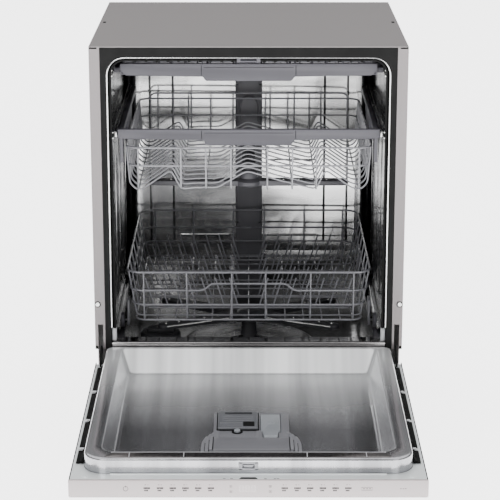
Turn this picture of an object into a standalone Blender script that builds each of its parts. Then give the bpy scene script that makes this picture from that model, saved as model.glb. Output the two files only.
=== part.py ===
"""Built-in dishwasher, 60 cm wide, with its door lying open.

Frame: +X to the right, +Y to the back, +Z up, metres. The origin is on the floor under the middle
of the machine's outline, which runs from the open door's edge to the back of the cabinet.
"""
import math

import bmesh
import bpy
from mathutils import Matrix

# ---------------------------------------------------------------- driving dimensions
GAP = 0.0003              # clearance between pieces that touch
RUN = 0.0010              # clearance between pieces that move past each other

WIDTH = 0.598             # cabinet, across
HEIGHT = 0.815            # floor to the top panel
DEPTH = 0.550             # front flange to the back of the tub
SHEET = 0.0012            # outer sheet metal
FLANGE_WIDTH = 0.020      # front flange of a side panel
FRAME_WIDTH = 0.0120      # dark frame between flange and opening, at the sides
FRAME_THICK = 0.006
BASE_SETBACK = 0.060      # the base front stands back from the flanges

TUB_WALL = 0.0025
TUB_HEADROOM = 0.0200     # inner ceiling below the top panel
TUB_BACK_GAP = 0.004      # tub's back wall to the back of the machine
TRACK_HEIGHT = 0.2335     # running surface of the lower basket's wheels, and the sill
TRACK_WIDTH = 0.0220      # wheel track at each side of the tub
TUB_FLOOR = 0.1620        # inner floor

HINGE_DROP = 0.0145       # hinge axis below the sill
HINGE_SETOUT = 0.009      # hinge axis in front of the front flanges
DOOR_SHORT = 0.0080       # closed door's top edge below the top panel
DOOR_SIDE_GAP = 0.0015    # door narrower than the cabinet, each side
DOOR_THICK = 0.0330       # ledge to the outer face
RIM_RISE = 0.0270         # liner's rim over the ledge
RIM_INSET = 0.0230        # liner's rim to the side of the machine
MOUTH_INSET = 0.0285      # rim to the pan's edge at the rim
PAN_INSET = 0.0460        # rim to the pan's edge at its floor
PAN_DROP = 0.0130         # pan floor below the ledge
RIM_SETBACK = 0.0280      # liner's raised rim, behind the door's edge
DOOR_TAIL = 0.0280        # outer panel, behind the hinge axis
LINER_SHEET = 0.0020
STRIP_THICK = 0.0050
ARM_THICK = 0.0030        # hinge arms
ARM_INSET = 0.0130
SLOT_WIDTH = 0.0060       # slot in the flange for the hinge arm
LATCH_HALF = 0.0165
DISPENSER_LENGTH = 0.1770
DISPENSER_RISE = 0.0110   # dispenser over the pan floor
DISPENSER_LEFT = 0.0620   # dispenser's edges from the door's middle
DISPENSER_RIGHT = 0.0720
DISPENSER_SEAT = 0.0030   # how far its flange lies over the hole's edge

WIRE = 0.0040             # coated wire of the baskets
TINE_WIRE = 0.0030
TINE_LENGTH = 0.0600
TINE_PITCH = 0.0280
TINE_CLEAR = 0.0009       # folding rows above the floor wires, so their square rails can turn
PANEL_HALF = 0.0830       # tall middle of the upper rack's band and of the cutlery tray
TRAY_GAP = 0.0220         # racks to the tub's side walls
UPPER_GAP = 0.0290
LOWER_GAP = 0.0270
TRAY_HANG = 0.0190        # below the inner ceiling
TRAY_HEIGHT = 0.0330
UPPER_HANG = 0.1680
UPPER_HEIGHT = 0.1000
BAND_HEIGHT = 0.0310
BAND_RISE = 0.0250        # band's top edge over the upper basket
UPPER_RAIL_RISE = 0.0050
RAIL_HEIGHT = 0.0140
LOWER_RISE = 0.0305       # lower basket's floor over its wheel tracks
LOWER_HEIGHT = 0.1020
WHEEL_RADIUS = 0.0145
WHEEL_THICK = 0.0070

LOWER_ARM_RISE = 0.0450   # lower spray arm over the tub floor
MIDDLE_ARM_DROP = 0.0370  # middle spray arm below the upper basket
ARM_HALF = 0.0060         # half the height of a spray arm
PLATE_LAP = 0.0320        # filter plate over the edge of the hole in the tub floor
PLATE_SETBACK = 0.2000    # middle of the filter plate behind the front flanges
CUP_RADIUS = 0.0400
CUP_OFFSET = 0.0620       # filter cup, and the spray arms' post, from the plate's middle
POST_RADIUS = 0.0180
CAP_RADIUS = 0.0410
CAP_INSET = 0.0620        # salt cap from the edge of the tub floor
CAP_OFFSET = 0.0400       # salt cap behind the plate's middle, where there is room
CAP_CLEAR = 0.0090        # salt cap to the plate
SUMP_BOTTOM = 0.1010
DUCT_HALF = 0.0290
FOOT_RISE = 0.0300        # floor to the base tray
FOOT_STEM = 0.0060
BASE_HEIGHT = 0.1000
BASE_WALL = 0.0040

# ---------------------------------------------------------------- derived places
HALF = WIDTH / 2
TUB_HALF = HALF - FLANGE_WIDTH - FRAME_WIDTH
TUB_TOP = HEIGHT - TUB_HEADROOM
TRACK_HALF = TUB_HALF - TRACK_WIDTH
FLANGE_BOTTOM = TRACK_HEIGHT - 0.0135
HINGE_HEIGHT = TRACK_HEIGHT - HINGE_DROP
DOOR_REACH = HEIGHT - DOOR_SHORT - HINGE_HEIGHT + HINGE_SETOUT
DOOR_HALF = HALF - DOOR_SIDE_GAP
DOOR_LEDGE = HINGE_HEIGHT - 0.0210
DOOR_RIM = DOOR_LEDGE + RIM_RISE
DOOR_BOTTOM = DOOR_LEDGE - DOOR_THICK
PAN_FLOOR = DOOR_LEDGE - PAN_DROP
RIM_HALF = HALF - RIM_INSET
PAN_MOUTH_HALF = RIM_HALF - MOUTH_INSET
PAN_HALF = RIM_HALF - PAN_INSET
ARM_X = HALF - ARM_INSET
FRONT = (DOOR_REACH - DEPTH) / 2
BACK = FRONT + DEPTH
DOOR_END = FRONT - DOOR_REACH
HINGE_Y = FRONT - HINGE_SETOUT
TUB_BACK = BACK - TUB_BACK_GAP - TUB_WALL
TUB_FRONT = FRONT + FRAME_THICK + GAP
TUB_LOW_FRONT = FRONT + 0.030
BASE_FRONT = FRONT + BASE_SETBACK
RIM_END = DOOR_END + RIM_SETBACK
DISPENSER_TOP = PAN_FLOOR + DISPENSER_RISE
DISPENSER_NEAR = DOOR_END + 0.138
DISPENSER_FAR = DISPENSER_NEAR + DISPENSER_LENGTH

PLATE_Y = FRONT + PLATE_SETBACK
HUB_Y = PLATE_Y + CUP_OFFSET
CUP_Y = PLATE_Y - CUP_OFFSET
SUMP_HALF_Y = CUP_OFFSET + CUP_RADIUS + 0.0030
PLATE_RADIUS = SUMP_HALF_Y + PLATE_LAP
SUMP_HALF_X = PLATE_RADIUS - 0.0620
CAP_X = CAP_INSET - TRACK_HALF
CAP_APART = PLATE_RADIUS + CAP_RADIUS + CAP_CLEAR
CAP_Y = PLATE_Y + max(CAP_OFFSET, math.sqrt(max(0, CAP_APART ** 2 - CAP_X ** 2)))
ARM_REACH = min(TRACK_HALF - 0.040, TUB_BACK - HUB_Y - 0.0765, HUB_Y - TUB_LOW_FRONT - 0.027)

RACK_FRONT = FRONT + 0.036
RACK_BACK = TUB_BACK - 0.032
TRAY_HALF = TUB_HALF - TRAY_GAP
TRAY_TOP = TUB_TOP - TRAY_HANG
TRAY_BOTTOM = TRAY_TOP - TRAY_HEIGHT
UPPER_HALF = TUB_HALF - UPPER_GAP
UPPER_TOP = TUB_TOP - UPPER_HANG
UPPER_BOTTOM = UPPER_TOP - UPPER_HEIGHT
UPPER_RAIL_Z = UPPER_TOP + UPPER_RAIL_RISE
BAND_TOP = UPPER_TOP + BAND_RISE
BAND_BOTTOM = BAND_TOP - BAND_HEIGHT
LOWER_HALF = TUB_HALF - LOWER_GAP
LOWER_BOTTOM = TRACK_HEIGHT + LOWER_RISE
LOWER_TOP = LOWER_BOTTOM + LOWER_HEIGHT
AXLE_Z = TRACK_HEIGHT + GAP + WHEEL_RADIUS
ARM_LOWER = TUB_FLOOR + LOWER_ARM_RISE
ARM_MIDDLE = UPPER_BOTTOM - MIDDLE_ARM_DROP


# ---------------------------------------------------------------- materials and shapes
def material(name, colour, roughness, metallic=0.0):
    made = bpy.data.materials.new(name)
    made.use_nodes = True
    shader = made.node_tree.nodes["Principled BSDF"]
    shader.inputs["Base Color"].default_value = (*colour, 1.0)
    shader.inputs["Roughness"].default_value = roughness
    shader.inputs["Metallic"].default_value = metallic
    made.diffuse_color = (*colour, 1.0)
    return made


def place(name, form, finish, smooth=False):
    """A named object from a bmesh, with its faces pointing out."""
    bmesh.ops.recalc_face_normals(form, faces=form.faces)
    mesh = bpy.data.meshes.new(name)
    form.to_mesh(mesh)
    form.free()
    mesh.materials.append(finish)
    if smooth:
        mesh.shade_smooth()
        mesh.set_sharp_from_angle(angle=math.radians(35))
    made = bpy.data.objects.new(name, mesh)
    bpy.context.scene.collection.objects.link(made)
    return made


def inside(point, boxes):
    return any(all(low[a] < point[a] < high[a] for a in range(3)) for low, high in boxes)


def blocks(name, add, finish, cut=()):
    """One body from boxes that overlap or meet, less the boxes in cut."""
    lines = []
    for a in range(3):
        marks = sorted({round(corner[a], 6) for pair in (*add, *cut) for corner in pair})
        lines.append(marks)
    counts = [len(marks) - 1 for marks in lines]
    full = set()
    for i in range(counts[0]):
        for j in range(counts[1]):
            for k in range(counts[2]):
                cell = (i, j, k)
                middle = [(lines[a][cell[a]] + lines[a][cell[a] + 1]) / 2 for a in range(3)]
                if inside(middle, add) and not inside(middle, cut):
                    full.add(cell)
    form = bmesh.new()
    corners = {}

    def corner(key):
        if key not in corners:
            corners[key] = form.verts.new([lines[a][key[a]] for a in range(3)])
        return corners[key]

    for cell in sorted(full):
        for a in range(3):
            b, c = (a + 1) % 3, (a + 2) % 3
            for side in (0, 1):
                beside = list(cell)
                beside[a] += 1 if side else -1
                if tuple(beside) in full:
                    continue
                ring = []
                for u, v in ((0, 0), (1, 0), (1, 1), (0, 1)):
                    key = list(cell)
                    key[a] += side
                    key[b] += u
                    key[c] += v
                    ring.append(corner(tuple(key)))
                form.faces.new(ring if side else ring[::-1])
    bmesh.ops.dissolve_limit(form, angle_limit=math.radians(1), verts=form.verts, edges=form.edges)
    return place(name, form, finish)


def box(name, low, high, finish):
    return blocks(name, [(low, high)], finish)


def mirrored(boxes):
    """The same boxes on the left side."""
    return [((-high[0], low[1], low[2]), (-low[0], high[1], high[2])) for low, high in boxes]


def rounded(half_x, low_y, high_y, near_radius, far_radius, steps=5):
    """Points round a rectangle with arcs at its corners, near ones at low y."""
    points = []
    corners = ((half_x, high_y, far_radius, 0), (-half_x, high_y, far_radius, 90),
               (-half_x, low_y, near_radius, 180), (half_x, low_y, near_radius, 270))
    for x, y, radius, start in corners:
        centre_x = x - math.copysign(radius, x)
        centre_y = y - radius if start < 180 else y + radius
        for step in range(steps + 1):
            turn = math.radians(start + 90 * step / steps)
            points.append((centre_x + radius * math.cos(turn), centre_y + radius * math.sin(turn)))
    return points


def lofted(name, rings, finish):
    """A closed body from rings with the same number of points, capped at the first and last."""
    form = bmesh.new()
    rows = [[form.verts.new(point) for point in ring] for ring in rings]
    for row, following in zip(rows, rows[1:]):
        for i, vert in enumerate(row):
            j = (i + 1) % len(row)
            form.faces.new((vert, row[j], following[j], following[i]))
    form.faces.new(rows[0][::-1])
    form.faces.new(rows[-1])
    return place(name, form, finish, smooth=True)


def turned(name, profile, centre, finish, steps=24, along="Z"):
    """A body turned round an axis from a closed outline of (radius, height) points."""
    form = bmesh.new()
    rows = []
    for radius, height in profile:
        if radius == 0:
            rows.append([form.verts.new((0, 0, height))])
            continue
        turns = [2 * math.pi * i / steps for i in range(steps)]
        rows.append([form.verts.new((radius * math.cos(t), radius * math.sin(t), height)) for t in turns])
    closed = 0 if len(rows[0]) == 1 else 1
    pairs = list(zip(rows, rows[1:] + rows[:1])) if closed else list(zip(rows, rows[1:]))
    for row, following in pairs:
        for i in range(steps):
            j = (i + 1) % steps
            if len(row) == 1:
                form.faces.new((row[0], following[j], following[i]))
            elif len(following) == 1:
                form.faces.new((row[i], row[j], following[0]))
            else:
                form.faces.new((row[i], row[j], following[j], following[i]))
    tilt = {"Z": Matrix(), "Y": Matrix.Rotation(-math.pi / 2, 4, "X"),
            "X": Matrix.Rotation(math.pi / 2, 4, "Y")}[along]
    bmesh.ops.transform(form, matrix=tilt, verts=form.verts)
    made = place(name, form, finish, smooth=True)
    made.location = centre
    return made


def rod(radius, low, high):
    """The outline of a plain round rod."""
    return [(0, low), (radius, low), (radius, high), (0, high)]


def prism(name, outline, low, high, finish, along="X"):
    """A flat outline drawn out along an axis: its points are the other two axes in X, Y, Z order."""
    order = {"X": (2, 0, 1), "Y": (0, 2, 1), "Z": (0, 1, 2)}[along]
    form = bmesh.new()
    sides = []
    for level in (low, high):
        points = [(*point, level) for point in outline]
        sides.append([form.verts.new([point[order[a]] for a in range(3)]) for point in points])
    for i in range(len(outline)):
        j = (i + 1) % len(outline)
        form.faces.new((sides[0][i], sides[0][j], sides[1][j], sides[1][i]))
    form.faces.new(sides[0][::-1])
    form.faces.new(sides[1])
    return place(name, form, finish)


def cut(body, cutter):
    """Takes the cutter's shape out of the body."""
    cutter.hide_render = True
    cutter.display_type = "WIRE"
    modifier = body.modifiers.new("cut", "BOOLEAN")
    modifier.operation = "DIFFERENCE"
    modifier.solver = "EXACT"
    modifier.object = cutter


# ---------------------------------------------------------------- cabinet
def build_tub(steel, dark, rubber, pale):
    wall = TUB_WALL
    shelf = TRACK_HEIGHT - wall
    low_front = TUB_LOW_FRONT
    blocks("tub",
           [((-TUB_HALF - wall, TUB_FRONT, shelf), (TUB_HALF + wall, TUB_BACK + wall, TUB_TOP + wall)),
            ((-TRACK_HALF - wall, low_front, TUB_FLOOR - wall),
             (TRACK_HALF + wall, TUB_BACK + wall, shelf + wall / 2))],
           steel,
           cut=[((-TUB_HALF, FRONT, TRACK_HEIGHT), (TUB_HALF, TUB_BACK, TUB_TOP)),
                ((-TRACK_HALF, low_front + wall, TUB_FLOOR), (TRACK_HALF, TUB_BACK, TRACK_HEIGHT + wall)),
                ((-SUMP_HALF_X, PLATE_Y - SUMP_HALF_Y, 0),
                 (SUMP_HALF_X, PLATE_Y + SUMP_HALF_Y, TUB_FLOOR + wall))])
    edge = HALF - FLANGE_WIDTH - GAP
    blocks("front_frame",
           [((-edge, FRONT, FLANGE_BOTTOM), (edge, FRONT + FRAME_THICK, HEIGHT - SHEET - GAP))],
           dark,
           cut=[((-TUB_HALF, FRONT - 1, 0), (TUB_HALF, FRONT + 1, TUB_TOP))])
    box("sill", (-TUB_HALF + GAP, FRONT, FLANGE_BOTTOM),
        (TUB_HALF - GAP, FRONT + FRAME_THICK, TRACK_HEIGHT), steel)
    peg_top = TRACK_HEIGHT + 0.026
    seal = TUB_HALF - 0.006
    blocks("door_gasket",
           [((-TUB_HALF + GAP, FRONT + 0.010, peg_top + GAP),
             (TUB_HALF - GAP, FRONT + 0.020, TUB_TOP - GAP))],
           rubber,
           cut=[((-seal, FRONT - 1, 0), (seal, FRONT + 1, TUB_TOP - 0.006))])
    peg = [((TUB_HALF - 0.0095, FRONT + 0.0065, TRACK_HEIGHT + GAP),
            (TUB_HALF - GAP, FRONT + 0.020, peg_top))]
    blocks("seal_peg_right", peg, pale)
    blocks("seal_peg_left", mirrored(peg), pale)


def build_casing(painted, plastic):
    slot = SLOT_WIDTH / 2
    inner = HALF - FLANGE_WIDTH
    side = [((HALF - SHEET, FRONT, FLANGE_BOTTOM), (HALF, BACK, HEIGHT - SHEET - GAP)),
            ((inner, FRONT, FLANGE_BOTTOM), (HALF, FRONT + SHEET, HEIGHT - SHEET - GAP)),
            ((HALF - SHEET, BASE_FRONT, BASE_HEIGHT + GAP), (HALF, BACK, FLANGE_BOTTOM + SHEET))]
    notch = [((ARM_X - slot, FRONT - 1, 0), (ARM_X + slot + 0.004, FRONT + SHEET * 2, FLANGE_BOTTOM + 0.050))]
    blocks("right_panel", side, painted, cut=notch)
    blocks("left_panel", mirrored(side), painted, cut=mirrored(notch))
    box("top_panel", (-HALF, FRONT, HEIGHT - SHEET), (HALF, BACK, HEIGHT), painted)
    half = HALF - 0.003
    wall = BASE_WALL
    rear = BACK - 0.004
    low = FOOT_RISE + GAP
    stem = FOOT_STEM + RUN
    posts = [((x, y, low), (x + 0.014, y + 0.030, TRACK_HEIGHT - TUB_WALL - GAP))
             for x in (TRACK_HALF + 0.006, -TRACK_HALF - 0.020) for y in (BASE_FRONT + 0.030, rear - 0.060)]
    holes = [((x - stem, y - stem, 0), (x + stem, y + stem, BASE_HEIGHT)) for x, y in foot_places()]
    outlets = [((-0.210, rear - wall, 0.050), (-0.180, BACK, 0.080)),
               ((0.185, rear - wall, 0.055), (0.205, BACK, 0.075))]
    blocks("base_tray",
           [((-half, BASE_FRONT, low), (half, rear, BASE_HEIGHT)), *posts, *outlets], plastic,
           cut=[((-half + wall, BASE_FRONT + wall, low + wall), (-TRACK_HALF - 0.020, rear - wall, 1)),
                ((TRACK_HALF + 0.020, BASE_FRONT + wall, low + wall), (half - wall, rear - wall, 1)),
                ((-TRACK_HALF - 0.006, BASE_FRONT + wall, low + wall), (TRACK_HALF + 0.006, rear - wall, 1)),
                ((-half + wall, BASE_FRONT + wall, low + wall), (half - wall, BASE_FRONT + 0.030, 1)),
                ((-half + wall, BASE_FRONT + 0.060, low + wall), (half - wall, rear - 0.060, 1)),
                ((-half + wall, rear - 0.030, low + wall), (half - wall, rear - wall, 1)),
                *holes,
                ((-0.205, rear - 2 * wall, 0.055), (-0.185, BACK + 1, 0.075)),
                ((-0.148, rear - 2 * wall, 0.047), (-0.112, BACK + 1, 0.083))])
    box("plinth", (-half, BASE_FRONT - 0.003, 0.010), (half, BASE_FRONT - GAP, 0.150), painted)
    for number, (x, y) in enumerate(foot_places(), 1):
        turned(f"foot_{number}", [(0, 0), (0.018, 0), (0.018, 0.010), (FOOT_STEM, 0.014),
                                  (FOOT_STEM, 0.060), (0, 0.060)],
               (x, y, 0), plastic, steps=16)


def foot_places():
    return [(x, y) for y in (BASE_FRONT + 0.050, BACK - 0.050) for x in (-HALF + 0.030, HALF - 0.030)]


def build_wash_system(steel, dark, plastic, white, pale):
    top = TUB_FLOOR + GAP
    under = TUB_FLOOR - TUB_WALL - GAP
    bowl = SUMP_HALF_Y + 0.001
    bed = SUMP_BOTTOM + 0.004
    foot = bed + 0.013
    rim = TUB_FLOOR + 0.010
    turned("sump", [(0, SUMP_BOTTOM), (bowl + 0.004, SUMP_BOTTOM), (bowl + 0.004, under - 0.003),
                    (0.150, under - 0.003),
                    (0.150, under), (bowl, under), (bowl, bed), (0, bed)], (0, PLATE_Y, 0), plastic, steps=32)
    plate = turned("filter_plate", [(0, top), (PLATE_RADIUS, top), (PLATE_RADIUS, top + 0.003),
                                    (0, top + 0.002)],
                   (0, PLATE_Y, 0), steel, steps=40)
    cut(plate, turned("cup_hole", rod(CUP_RADIUS + RUN, 0, 0.3), (0, CUP_Y, 0), steel))
    cut(plate, turned("post_hole", rod(POST_RADIUS + GAP, 0, 0.3), (0, HUB_Y, 0), steel))
    bore = CUP_RADIUS - 0.003
    turned("filter_cup", [(0, foot), (CUP_RADIUS, foot), (CUP_RADIUS, rim), (0.026, rim + 0.008),
                          (0.026, rim),
                          (0.030, rim - 0.004), (bore, rim - 0.004), (bore, foot + 0.003), (0, foot + 0.003)],
           (0, CUP_Y, 0), dark)
    turned("arm_post", rod(POST_RADIUS, bed + 0.001, ARM_LOWER - ARM_HALF - GAP), (0, HUB_Y, 0), dark)
    turned("salt_cap", [(0, top), (CAP_RADIUS, top), (CAP_RADIUS, top + 0.014), (0.030, top + 0.020),
                        (0, top + 0.020)],
           (CAP_X, CAP_Y, 0), dark)
    box("softener", (0.010 - TRACK_HALF, CAP_Y - 0.080, 0.040), (-0.100, CAP_Y + 0.090, 0.0995), white)
    box("water_duct", (-DUCT_HALF, TUB_BACK - 0.016, top), (DUCT_HALF, TUB_BACK - GAP, TUB_TOP - 0.012), dark)
    turned("wash_pump", [(0, 0), (0.031, 0), (0.031, 0.030), (0.026, 0.034), (0.026, 0.110), (0, 0.110)],
           (0.115, HUB_Y + 0.010, 0.068), plastic, along="Y")
    turned("drain_pump", [(0, 0), (0.020, 0), (0.020, 0.050), (0.014, 0.054), (0.014, 0.075), (0, 0.075)],
           (0.190, HUB_Y + 0.030, 0.062), plastic, along="Y")
    turned("inlet_valve", [(0, 0), (0.018, 0), (0.018, 0.040), (0.0128, 0.040), (0.0128, 0.058), (0, 0.058)],
           (-0.130, BACK - 0.070, 0.065), white, along="Y")
    for name, sign in (("spring_left", -1), ("spring_right", 1)):
        turned(name, rod(0.009, 0, 0.220), (sign * (HALF - 0.018), FRONT + 0.150, 0.085), steel, steps=16,
               along="Y")
    lock = TUB_TOP - GAP
    blocks("door_striker",
           [((-0.022, FRONT + 0.0015, lock - 0.010), (0.022, FRONT + 0.0095, lock))], pale,
           cut=[((-0.014, FRONT - 1, lock - 0.007), (0.014, FRONT + 1, lock - 0.003))])
    rail = [((TUB_HALF - 0.0095, FRONT + 0.030, 0), (TUB_HALF - GAP, TUB_BACK - 0.020, RAIL_HEIGHT))]
    for name, base in (("tray_rail", TRAY_BOTTOM + 0.009), ("upper_rail", UPPER_RAIL_Z)):
        lifted = [((low[0], low[1], low[2] + base), (high[0], high[1], high[2] + base)) for low, high in rail]
        blocks(name + "_right", lifted, steel)
        blocks(name + "_left", mirrored(lifted), steel)


# ---------------------------------------------------------------- door
def build_door(liner_steel, painted, silver, dark, plastic, pale, steel):
    sheet = 0.0015
    far = HINGE_Y + DOOR_TAIL
    near = DOOR_END + STRIP_THICK + GAP
    ledge = DOOR_LEDGE - sheet
    rim_side = RIM_HALF + GAP
    ledge_far = HINGE_Y - 0.018
    blocks("door_panel",
           [((-DOOR_HALF, near, DOOR_BOTTOM), (DOOR_HALF, far, DOOR_BOTTOM + sheet)),
            ((-DOOR_HALF, near, DOOR_BOTTOM), (-DOOR_HALF + sheet, ledge_far, DOOR_LEDGE)),
            ((DOOR_HALF - sheet, near, DOOR_BOTTOM), (DOOR_HALF, ledge_far, DOOR_LEDGE)),
            ((-DOOR_HALF, near, DOOR_BOTTOM), (DOOR_HALF, near + sheet, DOOR_LEDGE)),
            ((-DOOR_HALF, near, ledge), (DOOR_HALF, RIM_END - GAP, DOOR_LEDGE)),
            ((-DOOR_HALF, near, ledge), (-rim_side, ledge_far, DOOR_LEDGE)),
            ((rim_side, near, ledge), (DOOR_HALF, ledge_far, DOOR_LEDGE))],
           painted)
    rings = []
    skin = LINER_SHEET
    rim_far = FRONT - 0.0060

    def ring(half, inset, radius, height, far_y):
        return [(x, y, height) for x, y in rounded(half, RIM_END + inset, far_y, radius, 0.006)]

    mouth = RIM_HALF - PAN_MOUTH_HALF
    floor = RIM_HALF - PAN_HALF
    under = PAN_FLOOR - skin
    foot = DOOR_LEDGE - 0.002
    rings.append(ring(PAN_HALF, floor - skin, 0.040, under, rim_far - 0.046))
    rings.append(ring(PAN_MOUTH_HALF + skin, mouth - skin, 0.036, DOOR_RIM - skin, rim_far - 0.010))
    rings.append(ring(RIM_HALF - skin, skin, 0.036, DOOR_RIM - skin, rim_far))
    rings.append(ring(RIM_HALF - skin, skin, 0.036, foot, rim_far))
    rings.append(ring(RIM_HALF, 0, 0.038, foot, rim_far + skin))
    rings.append(ring(RIM_HALF, 0, 0.038, DOOR_RIM, rim_far + skin))
    rings.append(ring(PAN_MOUTH_HALF, mouth, 0.034, DOOR_RIM, rim_far - 0.008))
    rings.append(ring(PAN_HALF, floor, 0.038, PAN_FLOOR, rim_far - 0.044))
    liner = lofted("door_liner", rings, liner_steel)
    cut(liner, box("dispenser_hole", (DISPENSER_SEAT - DISPENSER_LEFT, DISPENSER_NEAR + 0.006,
                                      PAN_FLOOR - 0.010),
                   (DISPENSER_RIGHT - DISPENSER_SEAT, DISPENSER_FAR - 0.006, PAN_FLOOR + 0.010), dark))
    cut(liner, box("latch_hole", (-LATCH_HALF - GAP, RIM_END - 1, DOOR_LEDGE + 0.006),
                   (LATCH_HALF + GAP, RIM_END + 0.009, DOOR_RIM - 0.006), dark))
    box("control_strip", (-HALF + 0.001, DOOR_END, DOOR_LEDGE - 0.030),
        (HALF - 0.001, DOOR_END + STRIP_THICK, DOOR_LEDGE),
        silver)
    low = DOOR_LEDGE + GAP
    trim = [((RIM_HALF + 0.0015, DOOR_END + 0.070, low), (ARM_X - 0.003, HINGE_Y - 0.045, low + 0.008)),
            ((ARM_X - 0.0031, DOOR_END + 0.070, low), (RIM_HALF + 0.015, HINGE_Y - 0.045, low + 0.003))]
    blocks("side_trim_right", trim, dark)
    blocks("side_trim_left", mirrored(trim), dark)
    eye = [(HINGE_Y + 0.010 * math.cos(t), HINGE_HEIGHT + 0.010 * math.sin(t))
           for t in (math.radians(30 * i) for i in range(-3, 4))]
    bed = DOOR_LEDGE + 0.0015
    heel = HINGE_HEIGHT - 0.0290
    arm = [*eye, (HINGE_Y - 0.040, HINGE_HEIGHT), (HINGE_Y - 0.040, bed), (HINGE_Y - 0.017, bed),
           (HINGE_Y - 0.017, heel), (HINGE_Y - 0.010, heel)]
    for name, sign in (("hinge_arm_left", -1), ("hinge_arm_right", 1)):
        prism(name, arm, sign * ARM_X - ARM_THICK / 2, sign * ARM_X + ARM_THICK / 2, dark)
    build_latch(plastic, steel)
    build_dispenser(plastic, pale, dark)


def build_latch(plastic, steel):
    low = DOOR_LEDGE + 0.006 + GAP
    high = DOOR_RIM - 0.006 - GAP
    slot = 0.0100
    front = RIM_END - 0.0010
    blocks("latch_housing",
           [((-LATCH_HALF, front, low), (LATCH_HALF, RIM_END + 0.0085, high))], plastic,
           cut=[((-slot, front - 1, low + 0.003), (slot, RIM_END + 0.0065, high - 0.003))])
    box("latch_pawl", (-slot + RUN, front + 0.0006, low + 0.005),
        (slot - RUN, RIM_END + 0.0045, high - 0.005), steel)


def build_dispenser(plastic, pale, dark):
    low = PAN_FLOOR + GAP
    top = DISPENSER_TOP
    far = DISPENSER_FAR
    base = DOOR_BOTTOM + 0.0035
    button_y = far - 0.0935
    seat = DISPENSER_SEAT + GAP
    blocks("dispenser",
           [((-DISPENSER_LEFT, DISPENSER_NEAR, low), (DISPENSER_RIGHT, far, top)),
            ((seat - DISPENSER_LEFT, DISPENSER_NEAR + 0.006 + GAP, base),
             (DISPENSER_RIGHT - seat, far - 0.006 - GAP, top)),
            ((-0.092, DISPENSER_NEAR, low), (0.092, DISPENSER_NEAR + 0.080, top - 0.005))],
           plastic,
           cut=[((-0.050, far - 0.080, base + 0.002), (0.012, far - 0.010, 1)),
                ((0.021, far - 0.092, top - 0.0060), (0.057, far - 0.0063, 1)),
                ((0.0255, far - 0.119, top - 0.0060), (0.0525, far - 0.090, 1)),
                ((-0.028, button_y - 0.0065, top - 0.0050), (-0.012, button_y + 0.0065, 1))])
    lid_low = top + GAP
    box("detergent_lid", (-0.0545, far - 0.086, lid_low), (0.0165, far - 0.005, lid_low + 0.004), pale)
    turned("lid_button", rod(0.0055, top - 0.0020, top + 0.0040), (-0.020, button_y, 0), pale, steps=16)
    blocks("rinse_flap",
           [((0.0215, far - 0.0915, top - 0.0040), (0.0565, far - 0.0075, top - 0.0008)),
            ((0.0260, far - 0.1180, top - 0.0040), (0.0520, far - 0.0900, top - 0.0008))],
           pale)


# ---------------------------------------------------------------- racks and spray arms
def along_x(half, y, z, size=WIRE):
    return ((-half, y, z), (half, y + size, z + size))


def along_y(x, low, high, z, size=WIRE):
    return ((x - size / 2, low, z), (x + size / 2, high, z + size))


def upright(x, y, low, high, size=WIRE):
    return ((x - size / 2, y, low), (x + size / 2, y + size, high))


def loop(half, low_y, high_y, z, size=WIRE):
    """Four bars round a rectangle."""
    edge = half - size / 2
    return [along_x(half, low_y, z, size), along_x(half, high_y - size, z, size),
            along_y(edge, low_y, high_y, z, size), along_y(-edge, low_y, high_y, z, size)]


def spread(low, high, count):
    return [low + (high - low) * i / (count - 1) for i in range(count)]


def basket(half, low_y, high_y, bottom, rings, across, deep):
    """Boxes of an open wire basket: rings up its walls, and a floor of bars both ways."""
    bars = loop(half, low_y, high_y, bottom)
    top = max(rings) + WIRE
    for height in rings:
        bars += loop(half, low_y, high_y, height)
    edge = half - WIRE / 2
    for x in spread(-edge, edge, across):
        bars += [upright(x, low_y, bottom, top), upright(x, high_y - WIRE, bottom, top)]
        bars.append(along_y(x, low_y, high_y, bottom))
    for y in spread(low_y, high_y - WIRE, deep):
        bars += [upright(edge, y, bottom, top), upright(-edge, y, bottom, top), along_x(half, y, bottom)]
    return bars


def tine_places(half):
    """Places across a basket of the tines in one row, clear of its middle and of its walls."""
    first = 0.020
    count = int((half - 0.030 - first) / TINE_PITCH) + 1
    return [sign * (first + TINE_PITCH * i) for sign in (-1, 1) for i in range(count)]


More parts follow.
